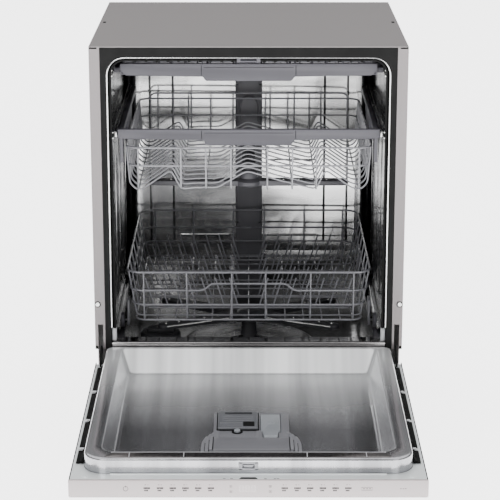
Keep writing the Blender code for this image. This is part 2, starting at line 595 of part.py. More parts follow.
def build_lower_rack(coated, plastic):
    rings = (LOWER_TOP - WIRE, LOWER_BOTTOM + 0.034)
    bars = basket(LOWER_HALF, RACK_FRONT, RACK_BACK, LOWER_BOTTOM, rings, 8, 7)
    rows = spread(RACK_FRONT, RACK_BACK - WIRE, 7)
    for y in (rows[1], rows[2], rows[3]):
        bars += [upright(x, y, LOWER_BOTTOM, LOWER_BOTTOM + TINE_LENGTH,
                         TINE_WIRE) for x in tine_places(LOWER_HALF)]
    axle = WIRE / 2
    reach = LOWER_HALF + 0.0075 + WHEEL_THICK + 0.003
    for y in wheel_places():
        for side in (-1, 1):
            edge = side * (LOWER_HALF - axle)
            bars.append(((edge - axle, y - axle, AXLE_Z - axle),
                         (edge + axle, y + axle, LOWER_BOTTOM + axle)))
            ends = sorted((edge, side * reach))
            bars.append(((ends[0], y - axle, AXLE_Z - axle), (ends[1], y + axle, AXLE_Z + axle)))
    blocks("lower_basket", bars, coated)
    hole = axle * math.sqrt(2) + 0.0005
    ring = [(hole, 0), (WHEEL_RADIUS, 0), (WHEEL_RADIUS, WHEEL_THICK), (hole, WHEEL_THICK)]
    for name, side, y in zip(("front_left", "rear_left", "front_right", "rear_right"), (-1, -1, 1, 1),
                             wheel_places() * 2):
        start = side * (LOWER_HALF + 0.0075) - (WHEEL_THICK if side < 0 else 0)
        turned("wheel_" + name, ring, (start, y, AXLE_Z), plastic, along="X")
    floor = LOWER_BOTTOM + WIRE + TINE_CLEAR
    for name, y in (("folding_tines_front", rows[4]), ("folding_tines_rear", rows[5])):
        low_y = y + 0.010
        tines = [upright(x, low_y, floor, floor + TINE_LENGTH, TINE_WIRE) for x in tine_places(LOWER_HALF)]
        blocks(name, [along_x(LOWER_HALF - 0.015, low_y, floor, TINE_WIRE), *tines], coated)


def wheel_places():
    return [RACK_FRONT + 0.060, RACK_BACK - 0.060]


def star(length, half_width, directions):
    """Outline of a spray arm with a blade in each direction, in degrees."""
    points = []
    for i, turn in enumerate(directions):
        after = directions[(i + 1) % len(directions)] + (360 if i == len(directions) - 1 else 0)
        spread_angle = math.atan2(half_width, length)
        for side in (-1, 1):
            angle = math.radians(turn) + side * spread_angle
            points.append((length * math.cos(angle), length * math.sin(angle)))
        middle = math.radians((turn + after) / 2)
        notch = half_width / math.sin(math.radians((after - turn) / 2))
        points.append((notch * math.cos(middle), notch * math.sin(middle)))
    return points


def build_spray_arms(dark):
    lower = prism("lower_spray_arm", star(ARM_REACH, 0.017, (26, 154, 206, 334)), -ARM_HALF, ARM_HALF,
                  dark, along="Z")
    lower.location = (0, HUB_Y, ARM_LOWER)
    middle = prism("middle_spray_arm", blade(ARM_REACH, 0.016, 0.030), -ARM_HALF, ARM_HALF, dark, along="Z")
    middle.location = (0, HUB_Y, ARM_MIDDLE)


def blade(length, half_width, hub):
    """Outline of a straight arm that widens at its hub."""
    side = [(length, -half_width), (length, half_width), (hub * 1.5, half_width), (hub * 0.6, hub),
            (-hub * 0.6, hub),
            (-hub * 1.5, half_width)]
    return side + [(-x, -y) for x, y in side]


def build_upper_rack(coated, plastic, dark, steel):
    rings = (UPPER_TOP - WIRE, UPPER_BOTTOM + 0.040)
    bars = basket(UPPER_HALF, RACK_FRONT, RACK_BACK, UPPER_BOTTOM, rings, 7, 7)
    crest = UPPER_BOTTOM + 0.038
    for y in spread(RACK_FRONT, RACK_BACK - WIRE, 7)[1:-1]:
        bars += [upright(x, y, UPPER_BOTTOM, crest, TINE_WIRE) for x in tine_places(UPPER_HALF)]
    blocks("upper_basket", bars, coated)
    reach = UPPER_HALF + 0.0025
    slide = UPPER_RAIL_Z
    front = RACK_FRONT - GAP
    arm = [((reach, front - 0.012, slide + RUN), (reach + 0.0100, RACK_BACK - 0.020,
                                                  slide + RAIL_HEIGHT - RUN))]
    blocks("upper_band",
           [((-PANEL_HALF, front - 0.012, BAND_BOTTOM), (PANEL_HALF, front, BAND_TOP)),
            ((-reach - 0.0090, front - 0.012, BAND_BOTTOM + 0.013), (reach + 0.0090, front, BAND_TOP)),
            *arm, *mirrored(arm)],
           plastic)
    member = [((reach + 0.0110, RACK_FRONT + 0.004, slide + RUN),
               (TUB_HALF - 0.0105, TUB_BACK - 0.045, slide + RAIL_HEIGHT - RUN))]
    blocks("upper_slide_right", member, steel)
    blocks("upper_slide_left", mirrored(member), steel)
    under = UPPER_BOTTOM - GAP
    blocks("upper_feed",
           [((-0.014, HUB_Y - 0.018, under - 0.016), (0.014, TUB_BACK - 0.018, under)),
            ((-0.018, HUB_Y - 0.018, ARM_MIDDLE + ARM_HALF + GAP), (0.018, HUB_Y + 0.018, under))],
           dark)


def build_cutlery_tray(plastic):
    low = TRAY_BOTTOM + 0.009
    edge = TRAY_HALF - 0.0015
    wall = 0.003
    bars = [((-PANEL_HALF, RACK_FRONT, TRAY_BOTTOM), (PANEL_HALF, RACK_FRONT + 0.010, TRAY_TOP)),
            ((-edge, RACK_FRONT, low), (edge, RACK_FRONT + 0.010, TRAY_TOP)),
            ((-edge, RACK_BACK - wall, low), (edge, RACK_BACK, TRAY_TOP - 0.004)),
            ((edge - wall, RACK_FRONT, low), (edge, RACK_BACK, TRAY_TOP - 0.004)),
            ((-edge, RACK_FRONT, low), (-edge + wall, RACK_BACK, TRAY_TOP - 0.004))]
    runner = [((edge - wall, RACK_FRONT + 0.020, low + 0.001), (TUB_HALF - 0.0105, RACK_BACK, low + 0.012))]
    bars += runner + mirrored(runner)
    for y in spread(RACK_FRONT, RACK_BACK - wall, 9):
        bars.append(((-edge, y, low), (edge, y + wall, low + wall)))
    for x in spread(-edge + wall, edge - wall, 8):
        bars.append(((x - wall / 2, RACK_FRONT, low), (x + wall / 2, RACK_BACK, low + wall)))
    for x in (-0.080, 0.080):
        bars.append(((x - wall / 2, RACK_FRONT, low), (x + wall / 2, RACK_BACK, low + 0.015)))
    blocks("cutlery_tray", bars, plastic)


def main():
    for thing in list(bpy.data.objects):
        bpy.data.objects.remove(thing, do_unlink=True)
    tub_steel = material("tub_steel", (0.62, 0.62, 0.61), 0.25, 1.0)
    bright_steel = material("bright_steel", (0.80, 0.80, 0.80), 0.20, 1.0)
    liner_steel = material("liner_steel", (0.74, 0.75, 0.76), 0.28, 1.0)
    painted = material("painted_casing", (0.36, 0.35, 0.34), 0.45, 0.6)
    silver = material("silver_strip", (0.62, 0.58, 0.58), 0.40, 0.5)
    dark = material("dark_plastic", (0.03, 0.03, 0.035), 0.45)
    frame = material("frame_paint", (0.06, 0.06, 0.06), 0.50)
    grey = material("grey_plastic", (0.10, 0.10, 0.12), 0.50)
    mid = material("mid_grey_plastic", (0.36, 0.36, 0.38), 0.45)
    pale = material("pale_plastic", (0.60, 0.61, 0.62), 0.40)
    white = material("white_plastic", (0.75, 0.74, 0.70), 0.50)
    coated = material("coated_wire", (0.28, 0.28, 0.30), 0.35)
    rubber = material("rubber", (0.02, 0.02, 0.02), 0.70)
    build_tub(tub_steel, frame, rubber, pale)
    build_casing(painted, dark)
    build_wash_system(bright_steel, dark, dark, white, pale)
    build_door(liner_steel, painted, silver, dark, mid, pale, bright_steel)
    build_lower_rack(coated, grey)
    build_upper_rack(coated, grey, dark, bright_steel)
    build_cutlery_tray(grey)
    build_spray_arms(dark)


main()
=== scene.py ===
"""Looks of the built-in dishwasher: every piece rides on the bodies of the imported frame."""
from math import copysign, cos, pi, radians, sin

import bmesh
import bpy
from mathutils import Matrix, Vector


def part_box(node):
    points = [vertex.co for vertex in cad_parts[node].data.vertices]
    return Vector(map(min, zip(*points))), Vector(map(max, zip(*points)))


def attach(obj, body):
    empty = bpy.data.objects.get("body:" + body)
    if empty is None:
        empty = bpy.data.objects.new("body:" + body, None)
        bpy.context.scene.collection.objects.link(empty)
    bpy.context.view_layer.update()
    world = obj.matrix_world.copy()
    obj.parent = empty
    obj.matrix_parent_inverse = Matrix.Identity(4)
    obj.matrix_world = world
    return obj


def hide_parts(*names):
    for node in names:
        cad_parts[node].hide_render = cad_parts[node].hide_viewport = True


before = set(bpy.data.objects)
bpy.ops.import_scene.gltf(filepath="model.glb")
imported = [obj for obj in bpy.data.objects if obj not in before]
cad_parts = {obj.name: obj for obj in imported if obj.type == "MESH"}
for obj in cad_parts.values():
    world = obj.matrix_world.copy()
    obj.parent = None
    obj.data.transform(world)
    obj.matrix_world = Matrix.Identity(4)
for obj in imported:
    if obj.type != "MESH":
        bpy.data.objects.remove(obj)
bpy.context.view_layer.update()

MM = 0.001


# ---------------------------------------------------------------- places read from the frame
def span(node):
    """Lowest and highest corner of a CAD node, in millimetres."""
    low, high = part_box(node)
    return Vector(low) / MM, Vector(high) / MM


TUB_LOW, TUB_HIGH = span("tub")
FRAME_LOW, FRAME_HIGH = span("front_frame")
SILL_LOW, SILL_HIGH = span("sill")
LINER_LOW, LINER_HIGH = span("door_liner")
PANEL_LOW, PANEL_HIGH = span("door_panel")
STRIP_LOW, STRIP_HIGH = span("control_strip")
LOWER_LOW, LOWER_HIGH = span("lower_basket")
UPPER_LOW, UPPER_HIGH = span("upper_basket")
BAND_LOW, BAND_HIGH = span("upper_band")
TRAY_LOW, TRAY_HIGH = span("cutlery_tray")
TOP_LOW, TOP_HIGH = span("top_panel")
DISPENSER_LOW, DISPENSER_HIGH = span("dispenser")
DUCT_LOW, DUCT_HIGH = span("water_duct")
FRONT = FRAME_LOW.y
TUB_WALL = 2.5
TRACK = SILL_HIGH.z
INNER = TUB_HIGH.x - TUB_WALL
CEILING = TUB_HIGH.z - TUB_WALL
REAR = TUB_HIGH.y - TUB_WALL
ALONG_X = Matrix.Rotation(pi / 2, 4, "Y")
ALONG_Y = Matrix.Rotation(pi / 2, 4, "X")


# ---------------------------------------------------------------- materials
class Nodes:
    """Short names for building one material's node tree."""

    def __init__(self, name, colour, roughness, metallic=0.0):
        self.material = bpy.data.materials.new(name)
        self.material.use_nodes = True
        self.tree = self.material.node_tree
        self.shader = self.tree.nodes["Principled BSDF"]
        self.set("Base Color", (*colour, 1.0))
        self.set("Roughness", roughness)
        self.set("Metallic", metallic)
        self.colour = colour

    def set(self, socket, value):
        self.shader.inputs[socket].default_value = value

    def add(self, kind, **values):
        node = self.tree.nodes.new(kind)
        for key, value in values.items():
            setattr(node, key, value)
        return node

    def link(self, source, target):
        self.tree.links.new(source, target)

    def coordinates(self, scale):
        """Object coordinates, stretched by a scale along each axis."""
        place = self.add("ShaderNodeTexCoord")
        stretch = self.add("ShaderNodeMapping")
        stretch.inputs["Scale"].default_value = scale
        self.link(place.outputs["Object"], stretch.inputs["Vector"])
        return stretch.outputs["Vector"]

    def noise(self, scale, stretch=(1, 1, 1), detail=4.0):
        node = self.add("ShaderNodeTexNoise")
        node.inputs["Scale"].default_value = scale
        node.inputs["Detail"].default_value = detail
        self.link(self.coordinates(stretch), node.inputs["Vector"])
        return node.outputs["Fac"]

    def spread(self, value, low, high, start=0.3, end=0.7):
        """Maps a noise value to a range."""
        node = self.add("ShaderNodeMapRange")
        node.inputs["From Min"].default_value = start
        node.inputs["From Max"].default_value = end
        node.inputs["To Min"].default_value = low
        node.inputs["To Max"].default_value = high
        self.link(value, node.inputs["Value"])
        return node.outputs["Result"]

    def mix(self, factor, first, second):
        node = self.add("ShaderNodeMix", data_type="RGBA")
        for index, side in ((6, first), (7, second)):
            if isinstance(side, tuple):
                node.inputs[index].default_value = (*side, 1.0)
            else:
                self.link(side, node.inputs[index])
        self.link(factor, node.inputs[0])
        return node.outputs[2]

    def bump(self, height, strength, distance):
        node = self.add("ShaderNodeBump")
        node.inputs["Strength"].default_value = strength
        node.inputs["Distance"].default_value = distance
        self.link(height, node.inputs["Height"])
        return node.outputs["Normal"]

    def edges(self):
        """High on outside corners, for wear."""
        node = self.add("ShaderNodeNewGeometry")
        return self.spread(node.outputs["Pointiness"], 0.0, 1.0, 0.52, 0.60)


def varied(nodes, amount, scale=6.0, stretch=(1, 1, 1)):
    """The base colour, a little lighter and darker in large soft patches."""
    patches = nodes.spread(nodes.noise(scale, stretch, 3.0), 0.0, 1.0)
    dark = tuple(c * (1 - amount) for c in nodes.colour)
    light = tuple(min(1.0, c * (1 + amount)) for c in nodes.colour)
    return nodes.mix(patches, dark, light)


def brushed(name, colour, roughness, grain, depth=0.10, smear=0.08, scale=260.0):
    """Stainless steel with its grain drawn along the axis that grain stretches least."""
    nodes = Nodes(name, colour, roughness, 1.0)
    fine = nodes.noise(scale, grain, 3.0)
    wide = nodes.noise(9.0, (1, 1, 1), 3.0)
    nodes.link(varied(nodes, 0.05), nodes.shader.inputs["Base Color"])
    lines = nodes.spread(fine, roughness - smear / 2, roughness + smear / 2)
    cloud = nodes.spread(wide, -0.03, 0.05)
    total = nodes.add("ShaderNodeMath", operation="ADD")
    nodes.link(lines, total.inputs[0])
    nodes.link(cloud, total.inputs[1])
    nodes.link(total.outputs[0], nodes.shader.inputs["Roughness"])
    nodes.link(nodes.bump(fine, depth, 0.0002), nodes.shader.inputs["Normal"])
    return nodes.material


def pan_steel(name, near, far, start, end):
    """Door liner steel, painted bright and soft by the hinge and darker by the strip as a painted reflection,
    and streaked along the door.
    """
    nodes = Nodes(name, near, 0.17, 1.0)
    place = nodes.add("ShaderNodeTexCoord")
    axes = nodes.add("ShaderNodeSeparateXYZ")
    nodes.link(place.outputs["Object"], axes.inputs["Vector"])
    # Painted reflection: 0 by the strip, where the colour is dark, to 1 by the hinge, where it is bright.
    painted_sheen_run = nodes.spread(axes.outputs["Y"], 0.0, 1.0, start, end)
    streaks = nodes.spread(nodes.noise(24.0, (1.0, 0.04, 0.04), 3.0), 0.66, 1.06, 0.35, 0.65)
    colour = nodes.add("ShaderNodeVectorMath", operation="SCALE")
    nodes.link(nodes.mix(painted_sheen_run, near, far), colour.inputs[0])
    nodes.link(streaks, colour.inputs["Scale"])
    nodes.link(colour.outputs["Vector"], nodes.shader.inputs["Base Color"])
    nodes.link(nodes.spread(painted_sheen_run, 0.90, 0.40, 0.0, 1.0), nodes.shader.inputs["Metallic"])
    fine = nodes.noise(900.0, (0.010, 1.0, 1.0), 3.0)
    nodes.link(nodes.spread(fine, 0.15, 0.21), nodes.shader.inputs["Roughness"])
    nodes.link(nodes.bump(fine, 0.16, 0.0002), nodes.shader.inputs["Normal"])
    return nodes.material


def painted_reflection_walls(name, back, dark_reflection_colour, roughness):
    """Tub steel with painted light: side walls painted dark as a painted reflection, with painted highlight
    streaks, and a back wall with soft bands painted like the racks' reflections.
    """
    nodes = Nodes(name, back, roughness, 1.0)
    # Painted reflections: soft dark and light bands on the back wall.
    reflection_bands = nodes.spread(nodes.noise(2.2, (1.2, 1.0, 5.0), 3.0), 0.0, 1.0, 0.38, 0.62)
    dark = tuple(c * 0.20 for c in back)
    wall = nodes.mix(reflection_bands, dark, back)
    # Painted reflection: walls that face sideways take the dark side colour.
    facing = nodes.add("ShaderNodeNewGeometry")
    axes = nodes.add("ShaderNodeSeparateXYZ")
    nodes.link(facing.outputs["Normal"], axes.inputs["Vector"])
    size = nodes.add("ShaderNodeMath", operation="ABSOLUTE")
    nodes.link(axes.outputs["X"], size.inputs[0])
    side_reflection_mask = nodes.spread(size.outputs[0], 0.0, 1.0, 0.15, 0.60)
    # Painted highlights: upright streaks on the dark side walls.
    streaks = nodes.spread(nodes.noise(30.0, (1.0, 1.0, 0.06), 3.0), 0.4, 1.7, 0.42, 0.60)
    dark_reflection_streaked = nodes.add("ShaderNodeVectorMath", operation="SCALE")
    dark_reflection_streaked.inputs[0].default_value = dark_reflection_colour
    nodes.link(streaks, dark_reflection_streaked.inputs["Scale"])
    nodes.link(nodes.mix(side_reflection_mask, wall, dark_reflection_streaked.outputs["Vector"]), nodes.shader.inputs["Base Color"])
    nodes.link(nodes.spread(nodes.noise(11.0), roughness - 0.04, roughness + 0.06),
            nodes.shader.inputs["Roughness"])
    waves = nodes.noise(16.0, (1.0, 1.0, 0.6), 2.0)
    nodes.link(nodes.bump(waves, 0.35, 0.002), nodes.shader.inputs["Normal"])
    return nodes.material


def moulded(name, colour, roughness, grain=900.0, depth=0.15, coat=0.0):
    """Moulded plastic or paint with a fine skin, soft patches and lighter worn edges."""
    nodes = Nodes(name, colour, roughness)
    worn = tuple(min(1.0, c * 1.35 + 0.02) for c in colour)
    nodes.link(nodes.mix(nodes.edges(), varied(nodes, 0.08), worn), nodes.shader.inputs["Base Color"])
    skin = nodes.noise(grain, (1, 1, 1), 2.0)
    nodes.link(nodes.spread(nodes.noise(14.0), roughness - 0.06, roughness + 0.06),
            nodes.shader.inputs["Roughness"])
    nodes.link(nodes.bump(skin, depth, 0.0003), nodes.shader.inputs["Normal"])
    if coat:
        nodes.set("Coat Weight", coat)
        nodes.set("Coat Roughness", 0.15)
    return nodes.material


def dull(name, colour):
    """Paint or rubber with hardly any shine."""
    nodes = Nodes(name, colour, 0.7)
    nodes.link(varied(nodes, 0.15, 9.0), nodes.shader.inputs["Base Color"])
    nodes.link(nodes.spread(nodes.noise(40.0), 0.62, 0.78), nodes.shader.inputs["Roughness"])
    nodes.link(nodes.bump(nodes.noise(380.0), 0.12, 0.0002), nodes.shader.inputs["Normal"])
    nodes.set("Specular IOR Level", 0.12)
    return nodes.material


def painted(name, colour, roughness, metallic):
    """Sheet metal with a metallic finish and a faint orange peel."""
    nodes = Nodes(name, colour, roughness, metallic)
    worn = tuple(min(1.0, c * 1.3 + 0.02) for c in colour)
    nodes.link(nodes.mix(nodes.edges(), varied(nodes, 0.04, 3.0), worn), nodes.shader.inputs["Base Color"])
    flakes = nodes.noise(1800.0, (1, 1, 1), 1.0)
    nodes.link(nodes.spread(flakes, roughness - 0.05, roughness + 0.08), nodes.shader.inputs["Roughness"])
    nodes.link(nodes.bump(nodes.noise(420.0), 0.06, 0.0002), nodes.shader.inputs["Normal"])
    return nodes.material


PAINT = {
    "frame": dull("frame_paint", (0.010, 0.010, 0.010)),
    "tub": painted_reflection_walls("tub_steel", (0.76, 0.76, 0.76), (0.045, 0.045, 0.048), 0.13),
    "sill": brushed("sill_steel", (0.86, 0.86, 0.86), 0.24, (0.03, 1.0, 1.0)),
    "liner": pan_steel("liner_steel", (0.45, 0.45, 0.47), (0.90, 0.91, 0.92), -0.32, -0.05),
    "ledge": painted("ledge_paint", (0.72, 0.75, 0.77), 0.35, 0.5),
    "sill_strip": brushed("sill_strip_steel", (0.30, 0.29, 0.29), 0.20, (0.03, 1.0, 1.0), 0.05, 0.05),
    # Steel for the rim strip, coloured dark as a painted reflection.
    "polished": brushed("dark_reflection_steel", (0.16, 0.15, 0.15), 0.18, (1.0, 0.1, 1.0)),
    "dispenser": moulded("dispenser_plastic", (0.125, 0.125, 0.137), 0.36),
    "lid": moulded("lid_plastic", (0.095, 0.098, 0.108), 0.34),
    "flap": moulded("flap_plastic", (0.230, 0.243, 0.262), 0.34),
    "lamp": moulded("display_lamp", (0.80, 0.79, 0.78), 0.40),
    "steel": brushed("bright_steel", (0.78, 0.78, 0.77), 0.22, (1.0, 0.05, 1.0)),
    "casing": painted("casing_paint", (0.172, 0.156, 0.158), 0.44, 0.30),
    "top": painted("top_paint", (0.190, 0.176, 0.176), 0.40, 0.35),
    "strip": painted("strip_paint", (0.46, 0.412, 0.412), 0.50, 0.10),
    "dark": moulded("dark_plastic", (0.030, 0.030, 0.034), 0.42),
    "duct": moulded("duct_plastic", (0.070, 0.069, 0.078), 0.45),
    "grey": moulded("grey_plastic", (0.058, 0.056, 0.068), 0.44),
    "mid": moulded("mid_grey_plastic", (0.33, 0.33, 0.35), 0.42),
    "pale": moulded("pale_plastic", (0.50, 0.51, 0.52), 0.38),
    "white": moulded("white_plastic", (0.70, 0.69, 0.64), 0.50),
    "rubber": dull("rubber", (0.012, 0.012, 0.012)),
    "wire": moulded("coated_wire", (0.115, 0.115, 0.128), 0.28, 500.0, 0.08, 0.4),
    "upper_wire": moulded("upper_wire", (0.215, 0.215, 0.232), 0.28, 500.0, 0.08, 0.4),
    "ink": dull("ink", (0.020, 0.018, 0.018)),
    "black": dull("black_paint", (0.006, 0.006, 0.006)),
    "felt": moulded("sound_felt", (0.035, 0.034, 0.033), 0.90, 160.0, 0.60),
}
SHOWN_NODES = {"tub": "tub", "right_panel": "casing", "left_panel": "casing", "top_panel": "top",
               "base_tray": "dark", "sump": "dark"}
for node, paint in SHOWN_NODES.items():
    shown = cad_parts[node].data.materials
    shown.clear()
    shown.append(PAINT[paint])


# ---------------------------------------------------------------- shapes
def circle(steps):
    """Cosine and sine of each step round a circle."""
    return [(cos(2 * pi * i / steps), sin(2 * pi * i / steps)) for i in range(steps)]


class Form:
    """A shape being built. Its places are in millimetres, and its mesh is in metres."""

    def __init__(self):
        self.mesh = bmesh.new()
        self.verts, self.edges, self.faces = self.mesh.verts, self.mesh.edges, self.mesh.faces

    def put(self, place):
        return self.verts.new(Vector(place) * MM)

    def round_edges(self, edges, bevel, segments=2):
        bmesh.ops.bevel(self.mesh, geom=edges, offset=bevel * MM, segments=segments, affect="EDGES",
                profile=0.5)

    def thicken(self, thickness):
        """Gives an open sheet a thickness."""
        bmesh.ops.recalc_face_normals(self.mesh, faces=self.faces)
        bmesh.ops.solidify(self.mesh, geom=self.faces[:], thickness=thickness * MM)

    def box(self, corner, opposite, bevel=0, segments=2):
        """A box between two opposite corners, with rounded edges."""
        low, high = Vector(map(min, corner, opposite)), Vector(map(max, corner, opposite))
        size = high - low
        where = Matrix.Translation((low + high) / 2 * MM) @ Matrix.Diagonal((*(size * MM), 1))
        made = bmesh.ops.create_cube(self.mesh, size=1, matrix=where)
        if bevel:
            edges = list({edge for vert in made["verts"] for edge in vert.link_edges})
            self.round_edges(edges, min(bevel, min(size) * 0.45), segments)

    def tube(self, points, radius, closed=False, sides=8):
        """A round wire along a line of points, with its ends closed."""
        points = [Vector(point) for point in points]
        count = len(points)
        rings = []
        side = None
        for i, point in enumerate(points):
            before = points[i - 1] if closed or i else point
            after = points[(i + 1) % count] if closed or i < count - 1 else point
            ahead = (after - before).normalized()
            if side is None:
                side = ahead.orthogonal().normalized()
            side = (side - ahead * side.dot(ahead)).normalized()
            other = ahead.cross(side)
            rings.append([self.put(point + radius * (side * c + other * s)) for c, s in circle(sides)])
        for first, second in zip(rings, rings[1:]):
            for k in range(sides):
                j = (k + 1) % sides
                self.faces.new((first[k], first[j], second[j], second[k]))
        if closed:
            first, second = rings[-1], rings[0]
            shift = min(range(sides), key=lambda s: (first[0].co - second[s].co).length)
            for k in range(sides):
                j = (k + 1) % sides
                self.faces.new((first[k], first[j], second[(j + shift) % sides], second[(k + shift) % sides]))
        else:
            self.faces.new(rings[0][::-1])
            self.faces.new(rings[-1])

    def turned(self, profile, centre, steps=32, tilt=Matrix(), closed=False):
        """A solid of (radius, height) points turned about a vertical axis, starting and ending on it."""
        rows = []
        where = Matrix.Translation(centre) @ tilt
        for radius, height in profile:
            if radius <= 0:
                rows.append([self.put(where @ Vector((0, 0, height)))])
                continue
            rows.append([self.put(where @ Vector((radius * c, radius * s, height))) for c,
                    s in circle(steps)])
        for row, after in zip(rows, rows[1:] + rows[:closed]):
            for i in range(steps):
                j = (i + 1) % steps
                if len(row) == 1:
                    self.faces.new((row[0], after[j], after[i]))
                elif len(after) == 1:
                    self.faces.new((row[i], row[j], after[0]))
                else:
                    self.faces.new((row[i], row[j], after[j], after[i]))

    def ring(self, outline, centre, steps, tilt=Matrix()):
        """A closed outline of (radius, height) points turned about an axis that it doesn't touch."""
        self.turned(outline, centre, steps, tilt, closed=True)

    def uprights(self, centre, radius, count, low, high, wire, sides=5):
        """Thin upright bars round a circle."""
        for c, s in circle(count):
            x, y = centre.x + radius * c, centre.y + radius * s
            self.tube([(x, y, low), (x, y, high)], wire, sides=sides)

    def prism(self, outline, low, high, order, bevel):
        """An outline drawn out along one axis; order says where each world axis is in (*point, level)."""
        sides = []
        for level in (low, high):
            rows = [(*point, level) for point in outline]
            sides.append([self.put([row[order[a]] for a in range(3)]) for row in rows])
        faces = [self.faces.new(sides[0][::-1]), self.faces.new(sides[1])]
        count = len(outline)
        for i in range(count):
            j = (i + 1) % count
            faces.append(self.faces.new((sides[0][i], sides[0][j], sides[1][j], sides[1][i])))
        if bevel:
            edges = list({edge for face in faces[:2] for edge in face.edges})
            self.round_edges(edges, bevel)

    def panel(self, outline, low_y, high_y, bevel):
        """An outline of (x, z) points drawn out along Y, with its edges rounded."""
        self.prism(outline, low_y, high_y, (0, 2, 1), bevel)

    def plate(self, outline, low_x, high_x, bevel):
        """An outline of (y, z) points drawn out along X, with its edges rounded."""
        self.prism(outline, low_x, high_x, (2, 0, 1), bevel)

    def flat(self, outline, low_z, high_z, bevel):
        """An outline of (x, y) points drawn out along Z, with its edges rounded."""
        self.prism(outline, low_z, high_z, (0, 1, 2), bevel)


def piece(name, form, paint, body, *stands_for, sharp=35):
    """A finished piece from a form, riding on a body and standing for CAD nodes."""
    bmesh.ops.recalc_face_normals(form.mesh, faces=form.faces)
    mesh = bpy.data.meshes.new(name)
    form.mesh.to_mesh(mesh)
    form.mesh.free()
    made = bpy.data.objects.new(name, mesh)
    bpy.context.scene.collection.objects.link(made)
    mesh.materials.append(PAINT[paint])
    mesh.shade_smooth()
    mesh.set_sharp_from_angle(angle=radians(sharp))
    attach(made, body)
    if stands_for:
        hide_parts(*stands_for)


def disc(radius, low, high):
    """Profile of a flat round plate."""
    return [(0, low), (radius, low), (radius, high), (0, high)]


def mirrored(points):
    """A line of points on the right, carried on along its mirror image on the left."""
    return points + [(-point[0], *point[1:]) for point in reversed(points)]


def soft_path(points, radius, steps=4):
    """The points with each inner corner rounded off."""
    points = [Vector(point) for point in points]
    path = [points[0]]
    for before, corner, after in zip(points, points[1:], points[2:]):
        into, out = before - corner, after - corner
        reach = min(radius, into.length * 0.45, out.length * 0.45)
        start = corner + into.normalized() * reach
        end = corner + out.normalized() * reach
        for i in range(steps + 1):
            t = i / steps
            path.append(start * (1 - t) ** 2 + corner * 2 * t * (1 - t) + end * t ** 2)
    path.append(points[-1])
    return path


def rounded_loop(half_x, low_y, high_y, z, radius, steps=5):
    """Points round a rectangle with arcs at its corners."""
    points = []
    corners = ((half_x - radius, high_y - radius, 0), (radius - half_x, high_y - radius, 90),
            (radius - half_x, low_y + radius, 180), (half_x - radius, low_y + radius, 270))
    for x, y, start in corners:
        for step in range(steps + 1):
            turn = radians(start + 90 * step / steps)
            points.append((x + radius * cos(turn), y + radius * sin(turn), z))
    return points


def spread(low, high, count):
    """Evenly spaced values from low to high."""
    return [low + (high - low) * i / (count - 1) for i in range(count)]


# ---------------------------------------------------------------- lower basket
def build_lower_basket():
    form = Form()
    bottom = LOWER_TINE_FOOT - 2
    top = LOWER_HIGH.z - 2
    half = LOWER_HALF - 2
    near = LOWER_LOW.y + 2
    far = LOWER_HIGH.y - 2
    lean = 10
    levels = (top, top - 38, top - 68)
    for index, z in enumerate(levels):
        share = (top - z) / (top - bottom)
        width = half - 12 * share
        front = near + lean * share
        back = far - lean * share
        ring = rounded_loop(width, front, back, z, 30)
        if index == 1:
            ring = [point for point in ring if point[1] > front + 1 or abs(point[0]) > width - 31]
            handle = mirrored([(30 - width, front, z), (-88, front, z), (-74, front, z + 14)])
            start = next(i for i, point in enumerate(ring) if point[0] > 0 and point[1] <= front + 1)
            ring = ring[start:] + ring[:start]
            form.tube(ring + soft_path(handle, 10), 1.9, closed=True)
        else:
            form.tube(ring, 2.2 if index == 0 else 1.8, closed=True)
    floor_half = half - 20
    form.tube(rounded_loop(floor_half + 4, near + lean, far - lean, bottom, 20), 1.8, closed=True)
    for x in (-205, -121, -33, 33, 121, 205):
        path = [(x, near - 3, top), (x, near + lean - 3, bottom + 4), (x, near + lean + 10, bottom - 2),
                (x, far - lean - 10, bottom - 2), (x, far - lean + 3, bottom + 4), (x, far + 3, top)]
        form.tube(soft_path(path, 8), 1.6)
    for x in spread(-180, 180, 11):
        form.tube([(x, near + lean, bottom), (x, far - lean, bottom)], 1.5)
    for y in spread(near + 30, far - 30, 8):
        path = mirrored([(1 - half, y, top), (-floor_half - 3, y, bottom + 6),
                (8 - floor_half, y, bottom + 3)])
        form.tube(soft_path(path, 10), 1.6)
    for side in (-1, 1):
        for y in WHEEL_ROWS:
            form.box((side * 241.5, y - 16, WHEEL_Z - 6), (side * 236.5, y + 16, bottom + 30), 1.8)
            form.turned(disc(2.2, 0, 18), (side * 239.5, y, WHEEL_Z), 12,
                    Matrix.Rotation(side * pi / 2, 4, "Y"))
    for y in FIXED_ROWS:
        add_tines(form, y, bottom + 3, TINE_TOP)
    piece("lower_basket_wires", form, "wire", "lower_rack", "lower_basket")


def add_tines(form, y, low, high):
    """A row of tines that lean out on both sides of the middle, on one cross wire."""
    outer = TINE_PLACES[-1] + 12
    form.tube([(-outer, y, low), (outer, y, low)], 1.7)
    rise = high - low
    for x in TINE_PLACES:
        for side in (-1, 1):
            foot = side * x
            tip = side * (x + rise * 0.3)
            bend = foot + (tip - foot) * 0.97
            form.tube([(foot, y, low), (bend, y, high - 1.5), (tip, y, high)], 1.5, sides=7)


def build_folding_tines():
    for name, body in (("folding_tines_front", "tines_front"), ("folding_tines_rear", "tines_rear")):
        low, high = span(name)
        form = Form()
        add_tines(form, (low.y + high.y) / 2, low.z + 1.7, high.z)
        piece(name + "_wires", form, "wire", body, name)


